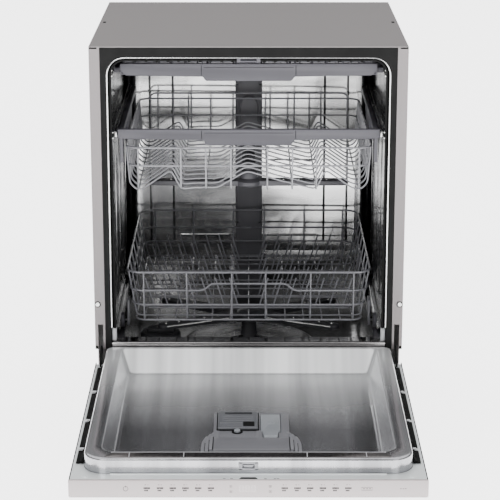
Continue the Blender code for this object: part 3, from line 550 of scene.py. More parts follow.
def build_wheels():
    for body in ("wheel_front_left", "wheel_rear_left", "wheel_front_right", "wheel_rear_right"):
        low, high = span(body)
        middle = (low + high) / 2
        radius = (high.z - low.z) / 2
        thick = (high.x - low.x) / 2
        form = Form()
        profile = [(2.8, -thick), (radius * 0.42, -thick), (radius * 0.46, -thick * 0.5),
                (radius * 0.72, -thick * 0.5), (radius * 0.78, -thick), (radius - 1.2, -thick),
                (radius, -thick + 1.2)]
        outline = profile + [(r, -h) for r, h in reversed(profile)]
        form.ring(outline, middle, 32, ALONG_X)
        for i in range(6):
            turn = pi / 3 * i
            arm = Matrix.Translation(middle * MM) @ Matrix.Rotation(turn, 4, "X")
            before = set(form.verts)
            form.box((-thick * 0.8, radius * 0.4, -0.9), (thick * 0.8, radius * 0.76, 0.9), 0.3, 1)
            bmesh.ops.transform(form.mesh, matrix=arm, verts=[v for v in form.verts if v not in before])
        piece(body + "_spoked", form, "grey", body, body)


# ---------------------------------------------------------------- upper basket
def cup_wave(z, rise):
    """One cross wire of the upper basket, from its left rim to its right rim."""
    half = UPPER_HALF - 3
    top = UPPER_HIGH.z - 14
    return [(-half, top), (-half + 6, z + 12), (-half + 18, z), (-205, z), (-150, z + rise), (-130, z),
            (-105, z + 3), (-60, z + 3), (-4, z + rise * 0.95), (60, z + rise * 0.45), (130, z),
            (148, z + rise), (200, z + 2), (half - 18, z), (half - 6, z + 12), (half, top)]


def build_upper_basket():
    form = Form()
    bottom = UPPER_LOW.z + 2
    top = UPPER_HIGH.z - 14
    half = UPPER_HALF - 2
    near = UPPER_LOW.y + 2
    far = UPPER_HIGH.y - 2
    form.tube(rounded_loop(half, near, far, top, 26), 2, closed=True)
    form.tube(rounded_loop(half - 3, near + 3, far - 3, top - 36, 26), 1.8, closed=True)
    for y in spread(near + 12, far - 14, 13):
        path = soft_path([(x, y, z) for x, z in cup_wave(bottom, 38)], 10)
        form.tube(path, 1.6, sides=7)
    for x in (-212, -130, -82, -34, 36, 84, 130, 212):
        path = [(x, near - 3, top), (x, near + 2, bottom + 4), (x, near + 14, bottom - 0.5),
                (x, far - 14, bottom - 0.5), (x, far - 2, bottom + 4), (x, far + 3, top)]
        form.tube(soft_path(path, 8), 1.6)
    back = far - 1
    form.tube(soft_path(mirrored([(20 - half, back, top), (30 - half, back, UPPER_HIGH.z - 2)]), 8), 1.9)
    for x in (-196, -163, -124, 46, 98, 155):
        form.tube([(x, back, UPPER_HIGH.z - 2), (x, back, bottom)], 1.5)
    piece("upper_basket_wires", form, "upper_wire", "upper_rack", "upper_basket")


def build_upper_band():
    """The plastic band in front of the upper basket and the carriers on its sides."""
    form = Form()
    low, high = BAND_LOW, BAND_HIGH
    near = low.y
    deep = near + 11.5
    wide = high.x - 1
    form.panel(mirrored([(79.5, low.z), (83.5, low.z + 4), (86.5, low.z + 12), (wide - 10, low.z + 12),
            (wide, low.z + 18), (wide, high.z)]), near, deep, 1.6)
    form.box((-70, near - 0.6, high.z - 5), (70, near + 2, high.z - 2), 0.8)
    carrier_low = high.x - 10
    for side in (-1, 1):
        form.box((side * carrier_low, deep - 4, RAIL_LOW + 1), (side * high.x, high.y, RAIL_HIGH - 1), 1.6)
        inner = sorted((side * (carrier_low - 0.5), side * (carrier_low + 6)))
        points = [(deep - 3, high.z - 4), (deep + 60, RAIL_HIGH - 2), (deep + 60, RAIL_LOW - 4),
                (deep + 28, RAIL_LOW - 20), (deep + 10, RAIL_LOW - 48), (deep - 3, RAIL_LOW - 46)]
        form.plate(points, inner[0], inner[1], 1.2)
        mid = (near + high.y) / 2
        points = [(mid - 70, RAIL_LOW + 4), (mid + 70, RAIL_LOW + 4), (mid + 50, RAIL_LOW - 50),
                (mid - 50, RAIL_LOW - 50)]
        form.plate(points, inner[0], inner[1], 1.5)
    piece("upper_band_moulding", form, "grey", "upper_rack", "upper_band", sharp=40)


# ---------------------------------------------------------------- cutlery tray
def build_tray():
    form = Form()
    low, high = TRAY_LOW, TRAY_HIGH
    near = low.y
    floor = low.z + 10
    edge = TRAY_EDGE
    step = floor
    form.panel(mirrored([(80, low.z), (83.5, low.z + 3), (86.5, step), (edge - 12, step), (edge, step + 10),
            (edge, high.z)]), near, near + 9, 1.5)
    form.box((-edge, high.y - 3, floor), (edge, high.y, high.z - 4), 1)
    for side in (-1, 1):
        form.box((side * (edge - 3), near + 6, floor), (side * edge, high.y, high.z - 3), 1)
        form.box((side * (edge - 1), near + 22, floor + 2), (side * high.x, high.y - 1, floor + 12), 1.5)
        for x in (80, 30):
            form.box((side * x - 1.5, near + 6, floor), (side * x + 1.5, high.y - 1, floor + 13), 0.6)
    for y in spread(near + 12, high.y - 6, 26):
        form.box((-edge + 1, y - 1.2, floor), (edge - 1, y + 1.2, floor + 3), 0.5, 1)
    for x in spread(-edge + 18, edge - 18, 19):
        form.box((x - 1.1, near + 6, floor + 0.4), (x + 1.1, high.y - 1, floor + 3.4), 0.5, 1)
    for x in spread(-edge + 30, -90, 5) + spread(90, edge - 30, 5):
        for y in spread(near + 40, high.y - 30, 14):
            form.box((x - 1.1, y - 1.1, floor + 2), (x + 1.1, y + 1.1, floor + 15), 0.5, 1)
    piece("cutlery_tray_moulding", form, "grey", "cutlery_tray", "cutlery_tray", sharp=40)


def build_parting_lines():
    """Fine lines where the middle of each rack front meets its sides."""
    for name, body, low, high, foot in (("tray_front_lines", "cutlery_tray", TRAY_LOW, TRAY_HIGH, 10.5),
            ("band_front_lines", "upper_rack", BAND_LOW, BAND_HIGH, 12.5)):
        form = Form()
        for x in (-89.5, 89.5):
            form.tube([(x, low.y - 0.1, low.z + foot), (x, low.y - 0.1, high.z - 2)], 0.5, sides=6)
        form.tube([(-85, low.y - 0.1, high.z - 6.8), (85, low.y - 0.1, high.z - 6.8)], 0.4, sides=6)
        piece(name, form, "black", body)


LOWER_HALF = 240
UPPER_HALF = 238
TRAY_EDGE = 243.5
LOWER_TINE_FOOT = 266
TINE_TOP = span("folding_tines_front")[1].z
TINE_PLACES = [20 + 28 * i for i in range(7)]
ROW_PITCH = (LOWER_HIGH.y - LOWER_LOW.y - 4) / 6
FIXED_ROWS = [LOWER_LOW.y + ROW_PITCH * i + 1.5 for i in (1, 2, 3)]
WHEEL_Z = sum(corner.z for corner in span("wheel_front_left")) / 2
WHEEL_ROWS = [sum(corner.y for corner in span(name)) / 2 for name in ("wheel_front_left", "wheel_rear_left")]
RAIL_LOW, RAIL_HIGH = (corner.z for corner in span("upper_rail_left"))

build_lower_basket()
build_folding_tines()
build_wheels()
build_upper_basket()
build_upper_band()
build_tray()
build_parting_lines()


# ---------------------------------------------------------------- cabinet front
def arch(half, foot, top, radius, y, steps=8):
    """Points of an upturned U with round corners, from the left foot to the right foot."""
    points = [(-half, y, foot)]
    for centre_x, start in ((-half + radius, 180), (half - radius, 90)):
        for step in range(steps + 1):
            turn = radians(start - 90 * step / steps)
            points.append((centre_x + radius * cos(turn), y, top - radius + radius * sin(turn)))
    points.append((half, y, foot))
    return points


def band_between(form, inner, outer, low_y, high_y):
    """A flat band between two lines of points, drawn out along Y."""
    corners = (inner, low_y), (outer, low_y), (outer, high_y), (inner, high_y)
    rows = [[form.put((point[0], y, point[2])) for point in line] for line, y in corners]
    for row, after in zip(rows, rows[1:] + rows[:1]):
        for i in range(len(row) - 1):
            form.faces.new((row[i], row[i + 1], after[i + 1], after[i]))
    for i in (0, -1):
        form.faces.new([row[i] for row in rows])


def build_front_frame():
    form = Form()
    inner = arch(INNER, FRAME_LOW.z, CEILING, OPENING_RADIUS, 0)
    outer = arch(FRAME_HIGH.x, FRAME_LOW.z, FRAME_HIGH.z, 2, 0)
    band_between(form, inner, outer, FRONT, FRAME_HIGH.y)
    piece("front_frame_pressing", form, "frame", "cabinet", "front_frame")
    form = Form()
    bead = arch(INNER - 1.2, TRACK + 30, CEILING - 1.2, OPENING_RADIUS - 1, FRONT + 1.2)
    form.tube(bead, 1.3)
    piece("tub_rim_bead", form, "sill", "cabinet")
    form = Form()
    band = arch(INNER - 4.5, GASKET_FOOT, CEILING - 4.5, OPENING_RADIUS - 4.5, FRONT + 15)
    form.tube(band, 4.2, sides=12)
    lip = arch(INNER - 6.8, GASKET_FOOT, CEILING - 6.8, OPENING_RADIUS - 6.5, FRONT + 8.5)
    form.tube(lip, 1.9)
    for x in spread(-INNER + 55, INNER - 55, 22):
        form.box((x - 2.2, FRONT + 5, CEILING - 10), (x + 2.2, FRONT + 8.5, CEILING - 7.8), 0.8)
    piece("door_gasket_lips", form, "rubber", "cabinet", "door_gasket")


def build_tub_lining():
    """The tub's inner skin with its round corners, ribs and back panel."""
    form = Form()
    skin = 0.6
    radius = OPENING_RADIUS
    line = arch(INNER - skin / 2, TRACK + 12, CEILING - skin / 2, radius, 0)
    shelf = [(-TRACK_HALF, 0, TRACK + 0.8), (-INNER + 10, 0, TRACK + 0.8), (-INNER + 3, 0, TRACK + 4)]
    line = shelf + line + [(-x, y, z) for x, y, z in reversed(shelf)]
    stations = [FRONT + 21, FRONT + 60, REAR - 40]
    rows = [[form.put((x, y, z)) for x, _, z in line] for y in stations]
    for step in range(1, 6):
        turn = radians(18 * step)
        pull = 34 * (1 - cos(turn))
        y = REAR - 40 + 39.2 * sin(turn)
        row = []
        for x, _, z in line:
            near_x = x - copysign(min(pull, abs(x)), x) * (abs(x) > INNER - radius * 1.2)
            near_z = z - pull * (z > CEILING - radius * 1.2)
            row.append(form.put((near_x, y, near_z)))
        rows.append(row)
    for row, after in zip(rows, rows[1:]):
        for i in range(len(row) - 1):
            form.faces.new((row[i], row[i + 1], after[i + 1], after[i]))
    form.faces.new(rows[-1])
    form.thicken(skin / 2)
    piece("tub_lining", form, "tub", "cabinet", sharp=50)
    form = Form()
    for side in (-1, 1):
        for y in spread(FRONT + 90, REAR - 70, 5):
            form.tube([(side * (INNER + 0.5), y, TRACK + 40), (side * (INNER + 0.5), y, 600)], 2.8)
    for x in (-215, -165, 165, 215):
        form.tube([(x, REAR + 0.2, TRACK + 50), (x, REAR + 0.2, 700)], 3)
    for z in (300, 470, 690):
        for side in (-1, 1):
            form.tube([(side * 45, REAR + 0.2, z), (side * 150, REAR + 0.2, z)], 2.6)
    piece("tub_ribs", form, "tub", "cabinet")


def build_small_fittings():
    form = Form()
    for side in (-1, 1):
        form.turned([(0, -0.2), (4.3, -0.2), (4.3, 1), (3.6, 1.7), (1.5, 1.9), (0, 1.3)],
                (side * (TOP_HIGH.x - 6.5), FRONT, SCREW_HEIGHT), 24, ALONG_Y)
    piece("flange_screws", form, "steel", "cabinet")
    # Painted shade: black rings round the flange screws, black strips under the top panel's front corners and
    # at the foot of the side flanges, and black notches on the top, where recesses and gaps lie in shade.
    form = Form()
    for side in (-1, 1):
        form.turned(disc(6, -0.2, 0.4), (side * (TOP_HIGH.x - 6.5), FRONT, SCREW_HEIGHT), 24, ALONG_Y)
        form.box((side * (TOP_HIGH.x - 15.5), FRONT - 0.4, TOP_LOW.z - 3),
                (side * (TOP_HIGH.x - 0.8), FRONT + 1, TOP_LOW.z - 0.2), 0.3)
        form.box((side * 286.5, FRONT + 274, TOP_HIGH.z - 0.6),
                (side * 292.5, FRONT + 290, TOP_HIGH.z + 0.3), 0.4)
        form.box((side * (TOP_HIGH.x - 5.8), FRONT - 0.8, SIDE_FOOT - 0.5),
                (side * (TOP_HIGH.x - 0.6), FRONT + 4, SIDE_FOOT + 6), 0.6)
    piece("cabinet_shade_patches", form, "black", "cabinet")
    low, high = span("door_striker")
    form = Form()
    form.box((low.x, low.y, high.z - 3.5), (high.x, high.y, high.z), 1)
    for side in (-1, 1):
        form.box((side * high.x, low.y, low.z), (side * (high.x - 7), high.y, high.z - 1), 1.2)
    middle = (low.y + high.y) / 2
    form.tube([(low.x + 2, middle, low.z + 2), (high.x - 2, middle, low.z + 2)], 1.7)
    piece("door_striker_loop", form, "grey", "cabinet", "door_striker")


def build_duct():
    low, high = DUCT_LOW, DUCT_HIGH
    form = Form()
    face = low.y
    cuts = [low.z, 330, 450, 545, 640, high.z]
    for bottom, top in zip(cuts, cuts[1:]):
        form.box((low.x, face + 1.2, bottom + 0.6), (high.x, high.y, top - 0.6), 3)
    form.box((low.x + 6, face + 0.2, low.z + 4), (high.x - 6, high.y - 1, high.z - 4), 2)
    ring = [(20 * cos(t), 590 + 26 * sin(t)) for t in (pi * i / 12 for i in range(13))]
    form.tube([(x, face + 1, z) for x, z in [(20, 560)] + ring + [(-20, 560)]], 3)
    for z in (500, 560):
        form.tube([(low.x - 1, face + 3, z), (high.x + 1, face + 3, z)], 2.2)
    piece("water_duct_moulding", form, "duct", "cabinet", "water_duct")


# ---------------------------------------------------------------- tub floor and spray arms
def build_floor_parts():
    low, high = span("filter_plate")
    centre = (low + high) / 2
    radius = (high.x - low.x) / 2
    cup_low, cup_high = span("filter_cup")
    form = Form()
    profile = [(radius * 0.36, low.z), (radius, low.z), (radius, low.z + 1.6), (radius - 3, low.z + 3),
            (radius - 8, low.z + 1.6), (radius * 0.62, low.z + 0.8), (radius * 0.58, low.z + 2.2),
            (radius * 0.36, low.z + 2.2)]
    form.ring(profile, (centre.x, centre.y, 0), 72)
    piece("filter_plate_rings", form, "sill", "cabinet", "filter_plate")
    cup = (cup_low + cup_high) / 2
    wide = (cup_high.x - cup_low.x) / 2
    top = CUP_RIM
    form = Form()
    form.ring([(wide - 3, cup_low.z + 3), (wide - 3, top - 3), (wide - 10, top - 1), (wide - 12, top + 6),
            (wide - 9, top + 8), (wide + 1, top + 2), (wide, top - 2), (wide - 0.5, cup_low.z)],
            (cup.x, cup.y, 0), 48)
    form.turned(disc(wide - 1, cup_low.z, cup_low.z + 3), (cup.x, cup.y, 0), 48)
    handle = mirrored([(13, cup_high.z), (17, top + 2), (22, top + 2), (16, cup_high.z + 4)])
    form.panel(handle, cup.y - 4, cup.y + 4, 1)
    form.uprights(cup, wide - 0.2, 24, cup_low.z + 4, top - 14, 0.6)
    piece("filter_cup_mesh", form, "dark", "filter_cup", "filter_cup")
    low, high = span("salt_cap")
    middle = (low + high) / 2
    wide = (high.x - low.x) / 2
    form = Form()
    form.turned([(0, low.z), (wide, low.z), (wide, low.z + 10), (wide - 3, low.z + 14),
            (wide - 10, low.z + 15), (wide - 13, low.z + 11), (0, low.z + 11)], (middle.x, middle.y, 0), 56)
    form.box((middle.x - wide + 12, middle.y - 6, low.z + 10), (middle.x + wide - 12, middle.y + 6, high.z),
            3, 3)
    form.uprights(middle, wide - 0.4, 30, low.z + 1, low.z + 10.5, 0.9)
    piece("salt_cap_grip", form, "dark", "salt_cap", "salt_cap")


def arm_outline(length, foot, tip, directions):
    """Outline of a spray arm with a tapered, round-ended blade in each direction."""
    points = []
    for i, turn in enumerate(directions):
        after = directions[(i + 1) % len(directions)] + (360 if i == len(directions) - 1 else 0)
        along = Vector((cos(radians(turn)), sin(radians(turn))))
        across = Vector((-along.y, along.x))
        for step in range(-3, 4):
            bend = radians(30 * step)
            spot = along * (length - tip + tip * cos(bend)) + across * tip * sin(bend)
            points.append((spot.x, spot.y))
        middle = radians((turn + after) / 2)
        notch = foot / sin(radians((after - turn) / 2))
        points.append((notch * cos(middle), notch * sin(middle)))
    return points


def build_arm(name, body, length, foot, tip, directions, paint, painted_glint):
    low, high = span(name)
    centre = (low + high) / 2
    outline = [(centre.x + x, centre.y + y) for x, y in arm_outline(length, foot, tip, directions)]
    form = Form()
    form.flat(outline, low.z + 1, high.z - 0.6, 3)
    form.turned([(0, low.z), (24, low.z), (27, low.z + 3), (27, high.z - 2), (18, high.z + 4),
            (0, high.z + 5)], (centre.x, centre.y, 0), 40)
    piece(name + "_moulding", form, paint, body, name, sharp=40)
    form = Form()
    for turn in directions:
        along = Vector((cos(radians(turn)), sin(radians(turn)), 0))
        for share in (0.35, 0.5, 0.64, 0.78, 0.92):
            spot = centre + along * length * share
            form.ring([(1.2, high.z - 1), (3.2, high.z - 1), (2.8, high.z + 0.6), (1.4, high.z + 0.6)],
                    (spot.x, spot.y, 0), 16)
    # Painted highlight: bright steel tubes along two blades' edges stand for a glint on the arm.
    if painted_glint:
        for turn, side in ((directions[2], 1), (directions[3], -1)):
            along = Vector((cos(radians(turn)), sin(radians(turn)), 0))
            across = Vector((-along.y, along.x, 0)) * side
            start = centre + along * 50 + across * (foot + 1)
            end = centre + along * (length - tip) + across * (tip + 0.5)
            start.z = end.z = high.z - 3
            form.tube([start, end], 1.7)
    piece(name + "_nozzles", form, "steel", body)


OPENING_RADIUS = 34
TRACK_HALF = 245
SCREW_HEIGHT = 311
SIDE_FOOT = FRAME_LOW.z
GASKET_FOOT = span("door_gasket")[0].z
CUP_RIM = 172

build_front_frame()
build_tub_lining()
build_small_fittings()
build_duct()
build_floor_parts()
build_arm("lower_spray_arm", "lower_arm", 205, 17, 13, (26, 154, 206, 334), "dark", True)
build_arm("middle_spray_arm", "middle_arm", 204, 15, 14, (0, 180), "duct", False)


# ---------------------------------------------------------------- door
def rim_ring(inset, radius, height, far_y, steps=10):
    """Points round the liner at a height, with large arcs at the near corners and small ones at the far."""
    half = LINER_HIGH.x - inset
    low_y = LINER_LOW.y + inset
    points = []
    corners = ((half, far_y, 10, 0), (-half, far_y, 10, 90), (-half, low_y, radius, 180),
            (half, low_y, radius, 270))
    for x, y, bend, start in corners:
        centre_x = x - copysign(bend, x)
        centre_y = y - bend if start < 180 else y + bend
        for step in range(steps + 1):
            turn = radians(start + 90 * step / steps)
            points.append((centre_x + bend * cos(turn), centre_y + bend * sin(turn), height))
    return points


def bend(first, last, steps):
    """Rings part way between two, rounding off the corner between a wall and a flat."""
    rings = []
    for step in range(1, steps + 1):
        turn = pi / 2 * step / steps
        along, up = sin(turn), 1 - cos(turn)
        rings.append(tuple(a + (b - a) * (up if index != 2 else along) for index,
                (a, b) in enumerate(zip(first, last))))
    return rings


def fill_with_hole(form, outer, hole):
    """A face between a line of vertices and a rectangular hole."""
    inner = [form.put(point) for point in hole]
    edges = []
    for row in (outer, inner):
        for first, second in zip(row, row[1:] + row[:1]):
            edges.append(form.edges.get((first, second)) or form.edges.new((first, second)))
    bmesh.ops.triangle_fill(form.mesh, edges=edges, use_beauty=True)


def build_liner():
    rim = LINER_HIGH.z
    ledge = PANEL_HIGH.z
    floor = PAN_FLOOR
    far = LINER_HIGH.y
    outline = [(0, 38, ledge - 1.5, far), (0, 38, rim - 4.2, far)]
    outline += bend((0, 38, rim - 4.2, far), (4.4, 36, rim, far - 2), 5)
    outline += [(25, 36, rim, far - 6.5), (27.2, 36, rim - 0.7, far - 8)]
    outline += [(28.5, 35, rim - 2.4, far - 9.5), (29.2, 35, rim - 4.2, far - 11)]
    outline += [(42.5, 38, floor + 6, far - 40), (44, 38, floor + 3, far - 42.5)]
    outline += [(46.5, 38, floor + 1, far - 45.5), (51, 38, floor, far - 50)]
    form = Form()
    rows = []
    for inset, radius, height, far_y in outline:
        rows.append([form.put(point) for point in rim_ring(inset, radius, height, far_y)])
    count = len(rows[0])
    near_edge = max(range(count), key=lambda i: (rows[0][(i + 1) % count].co - rows[0][i].co).length
            if rows[0][i].co.y < (LINER_LOW.y + 1) * MM else 0)
    for level, (row, after) in enumerate(zip(rows, rows[1:])):
        for i in range(count):
            j = (i + 1) % count
            if level == 0 and i == near_edge:
                hole = [(x, LINER_LOW.y, z) for x, z in ((-LATCH_HALF, LATCH_LOW), (LATCH_HALF, LATCH_LOW),
                        (LATCH_HALF, LATCH_TOP), (-LATCH_HALF, LATCH_TOP))]
                corners = (row[i], row[j], after[j], after[i])
                fill_with_hole(form, [form.verts.new(vert.co) for vert in corners], hole)
                continue
            form.faces.new((row[i], row[j], after[j], after[i]))
    cup = DISPENSER_LOW.y + 7
    hole = [(-58, cup, floor), (68, cup, floor), (68, DISPENSER_HIGH.y - 7, floor),
            (-58, DISPENSER_HIGH.y - 7, floor)]
    fill_with_hole(form, [form.verts.new(vert.co) for vert in rows[-1]], hole)
    form.thicken(0.6)
    piece("liner_pressing", form, "liner", "door", "door_liner", sharp=40)


def build_door_shell():
    low, high = PANEL_LOW, PANEL_HIGH
    form = Form()
    side = LINER_HIGH.x + 0.6
    near = low.y
    wide = high.x - 2
    back = FRONT - 28
    inner = [(x, y) for x, y, _ in rim_ring(-0.6, 38, 0, back)][22:44]
    form.flat(mirrored([(side, back), (wide, back), (wide, near)]) + inner, high.z - 1.5, high.z, 0)
    for sign in (-1, 1):
        spot = (sign * (side - 5), near + 12.5, high.z)
        form.turned([(0, -0.4), (5.2, -0.4), (4.6, 0.7), (0, 0.9)], spot, 24)
    form.tube([(-230, LINER_LOW.y - 3, high.z + 0.1), (230, LINER_LOW.y - 3, high.z + 0.1)], 1.6)
    piece("door_ledge", form, "ledge", "door")
    form = Form()
    for sign in (-1, 1):
        form.box((sign * (high.x - 2), near + 1, low.z + 4), (sign * high.x, FRONT - 20, high.z + 0.6), 0.6)
    piece("door_edge_trim", form, "black", "door")
    form = Form()
    far = high.y
    form.box((low.x + 0.4, near, low.z), (high.x - 0.4, far, low.z + 1.6), 0.6)
    for sign in (-1, 1):
        form.box((sign * (high.x - 1.8), near, low.z), (sign * (high.x - 0.4), FRONT - 28, high.z - 1), 0.4)
    form.box((low.x + 1, near, low.z), (high.x - 1, near + 1.4, high.z - 0.4), 0.4)
    for y in (near + 110, near + 470):
        form.box((low.x + 30, y, low.z - 0.1), (high.x - 30, y + 6, low.z + 0.6), 0.8)
    for x in spread(low.x + 60, high.x - 60, 4):
        for y in (near + 80, near + 300, near + 500):
            form.turned([(0, low.z + 1.2), (4.2, low.z + 1.2), (4.2, low.z + 0.1), (2.2, low.z),
                    (0, low.z + 0.6)], (x, y, 0), 20)
    piece("outer_panel_sheet", form, "casing", "door", "door_panel")


def build_side_trims():
    for name, sign in (("side_trim_left", -1), ("side_trim_right", 1)):
        low, high = span(name)
        form = Form()
        outer = high.x if sign > 0 else low.x
        inner = low.x if sign > 0 else high.x
        form.box((inner, low.y, low.z), (outer - sign * 7, high.y, high.z - 2.5), 1.2)
        rib = sorted((inner + sign, inner + sign * 4))
        form.box((rib[0], low.y + 2, low.z), (rib[1], high.y - 2, high.z), 1)
        for y in spread(low.y + 20, high.y - 20, 26):
            form.box((rib[0] - 0.6, y, low.z), (rib[1] + 3.2, y + 3, high.z - 1.2), 0.5)
        edge = sorted((outer - sign * 6.8, outer))
        form.box((edge[0], low.y, low.z), (edge[1], high.y, low.z + 2.6), 0.8)
        piece(name + "_rib", form, "black", "door", name)
        form = Form()
        for y in (low.y + 52, low.y + 185, low.y + 330):
            form.box((edge[0] - 0.5, y, low.z + 1), (edge[1] + 0.5 * (sign < 0), y + 6.5, low.z + 4.2), 0.8)
            form.box((low.x, y - 1.5, high.z - 3), (high.x - 4, y + 4, high.z - 1.2), 0.6)
        piece(name + "_tabs", form, "pale", "door")


def build_rim_strip():
    """Dark strip on the rim's near side, with its wider middle: dark polished steel, its darkness a painted
    reflection.
    """
    rim = LINER_HIGH.z
    low_y, high_y = LINER_LOW.y + 4.6, LINER_LOW.y + 26.2
    wide = 240
    form = Form()
    form.flat([(-wide, low_y + 4), (-wide + 16, low_y), (wide - 16, low_y), (wide, low_y + 4),
            (wide - 12, high_y), (37, high_y), (30, high_y + 1.2), (-36, high_y + 1.2), (-43, high_y),
            (-wide + 12, high_y)], rim - 0.6, rim + 0.6, 0.3)
    piece("rim_strip", form, "polished", "door")
    form = Form()
    for x in (-199, -108, 98, 197):
        form.box((x - 0.7, low_y + 2, rim + 0.3), (x + 0.7, high_y - 1, rim + 0.9), 0.2)
    form.tube([(-wide + 10, high_y + 0.6, rim + 0.3), (wide - 10, high_y + 0.6, rim + 0.3)], 0.8)
    piece("rim_strip_joints", form, "mid", "door")


def build_latch_parts():
    low, high = span("latch_housing")
    form = Form()
    near = low.y
    for sign in (-1, 1):
        form.box((sign * 10, near, low.z), (sign * high.x, high.y, high.z), 1)
    form.box((low.x, near, low.z), (high.x, high.y, low.z + 3.2), 1)
    form.box((low.x, near, high.z - 3.2), (high.x, high.y, high.z), 1)
    form.box((low.x + 2, high.y - 2, low.z + 1), (high.x - 2, high.y, high.z - 1), 0.5)
    piece("latch_frame", form, "mid", "door", "latch_housing")
    low, high = span("latch_pawl")
    form = Form()
    form.panel([(low.x, high.z), (low.x + 2, low.z), (high.x - 2, low.z), (high.x, high.z)], low.y, high.y, 1)
    form.box((low.x + 3, low.y - 0.4, low.z + 1), (high.x - 3, low.y + 1, low.z + 2.2), 0.4)
    piece("latch_tongue", form, "mid", "latch_pawl", "latch_pawl")
    # Painted shade: a black trapezoid laid on the ledge where its recess lies in shade, with small black
    # marks beside the strip.
    form = Form()
    top = PANEL_HIGH.z
    form.flat(mirrored([(15.5, STRIP_HIGH.y + 0.6), (12, STRIP_HIGH.y + 6.8)]), top - 0.2, top + 0.7, 0.3)
    for x in (-40, -28, 28, 44, 49):
        form.box((x - 2.2, STRIP_HIGH.y + 1.2, top - 0.2), (x + 2.2, STRIP_HIGH.y + 2.2, top + 0.5), 0.2)
    piece("ledge_recess_shade", form, "black", "door")


def build_control_strip():
    low, high = STRIP_LOW, STRIP_HIGH
    form = Form()
    form.box(low, high, 1.2, 3)
    piece("control_fascia", form, "strip", "door", "control_strip")
    face = low.y
    middle = (low.z + high.z) / 2

    def plate(form, x, z, half_x, half_z):
        form.box((x - half_x, face - 0.15, z - half_z), (x + half_x, face + 0.4, z + half_z))

    form = Form()
    ring = [(KEY_X + 4 * cos(t), face - 0.1, middle + 4 * sin(t))
            for t in (2 * pi * i / 28 for i in range(28))]
    form.tube(ring, 0.35, closed=True, sides=6)
    plate(form, KEY_X, middle + 4, 0.3, 1.6)
    for x in KEY_MARKS:
        plate(form, x - 2.2, middle + 7, 1.2, 0.4)
        plate(form, x + 2.2, middle + 7, 0.6, 0.4)
        for step in range(5):
            plate(form, x - 4.4 + 2.2 * step, middle + 1, 0.9, 1.5)
        for step in range(3):
            plate(form, x - 3.3 + 2.2 * step, middle - 3.2, 0.9, 1.2)
    for x in (-29, 36):
        for z in (middle + 4.2, middle - 5.2):
            frame_line = [(x - 2, face - 0.1, z - 1.6), (x + 2, face - 0.1, z - 1.6),
                    (x + 2, face - 0.1, z + 1.6), (x - 2, face - 0.1, z + 1.6)]
            form.tube(frame_line, 0.25, closed=True, sides=5)
            plate(form, x, z, 0.9, 0.35)
    key = [(187, middle - 2.6), (205, middle - 2.6), (205, middle + 2.6), (187, middle + 2.6)]
    form.tube([(x, face - 0.1, z) for x, z in key], 0.3, closed=True, sides=5)
    for x in (191, 196, 201):
        plate(form, x, middle, 1.5, 0.5)
    for x in (252, 256, 260):
        plate(form, x, middle, 1.2, 0.5)
    piece("key_marks", form, "ink", "door")
    form = Form()
    for digit in (-11.5, -1.5, 8.5):
        for z in (middle - 5, middle, middle + 5):
            for x in (digit - 1.6, digit + 1.6):
                plate(form, x, z, 0.7, 0.4)
        for x in (digit - 3, digit + 3):
            for z in (middle - 2.6, middle + 2.6):
                plate(form, x, z, 0.4, 0.9)
    piece("display_segments", form, "lamp", "door")


def build_hinge_arms():
    for name in ("hinge_arm_left", "hinge_arm_right"):
        low, high = span(name)
        middle = (low.x + high.x) / 2
        form = Form()
        eye = (high.y - 10, high.z - 10)
        points = [(eye[0] + 10 * cos(t), eye[1] + 10 * sin(t)) for t in map(radians, range(-90, 91, 15))]
        bed = PANEL_HIGH.z + 1.5
        points += [(low.y + 4, high.z - 10), (low.y, high.z - 14), (low.y, bed), (eye[0] - 17, bed),
                (eye[0] - 17, low.z), (eye[0] - 10, low.z)]
        form.plate(points, low.x, high.x, 0.6)
        form.turned(disc(4.8, -2.2, 2.2), (middle, *eye), 24, ALONG_X)
        for y in (low.y + 8, low.y + 18):
            form.turned(disc(2.2, -1.9, 1.9), (middle, y, bed + 6), 16, ALONG_X)
        piece(name + "_plate", form, "black", "door", name)


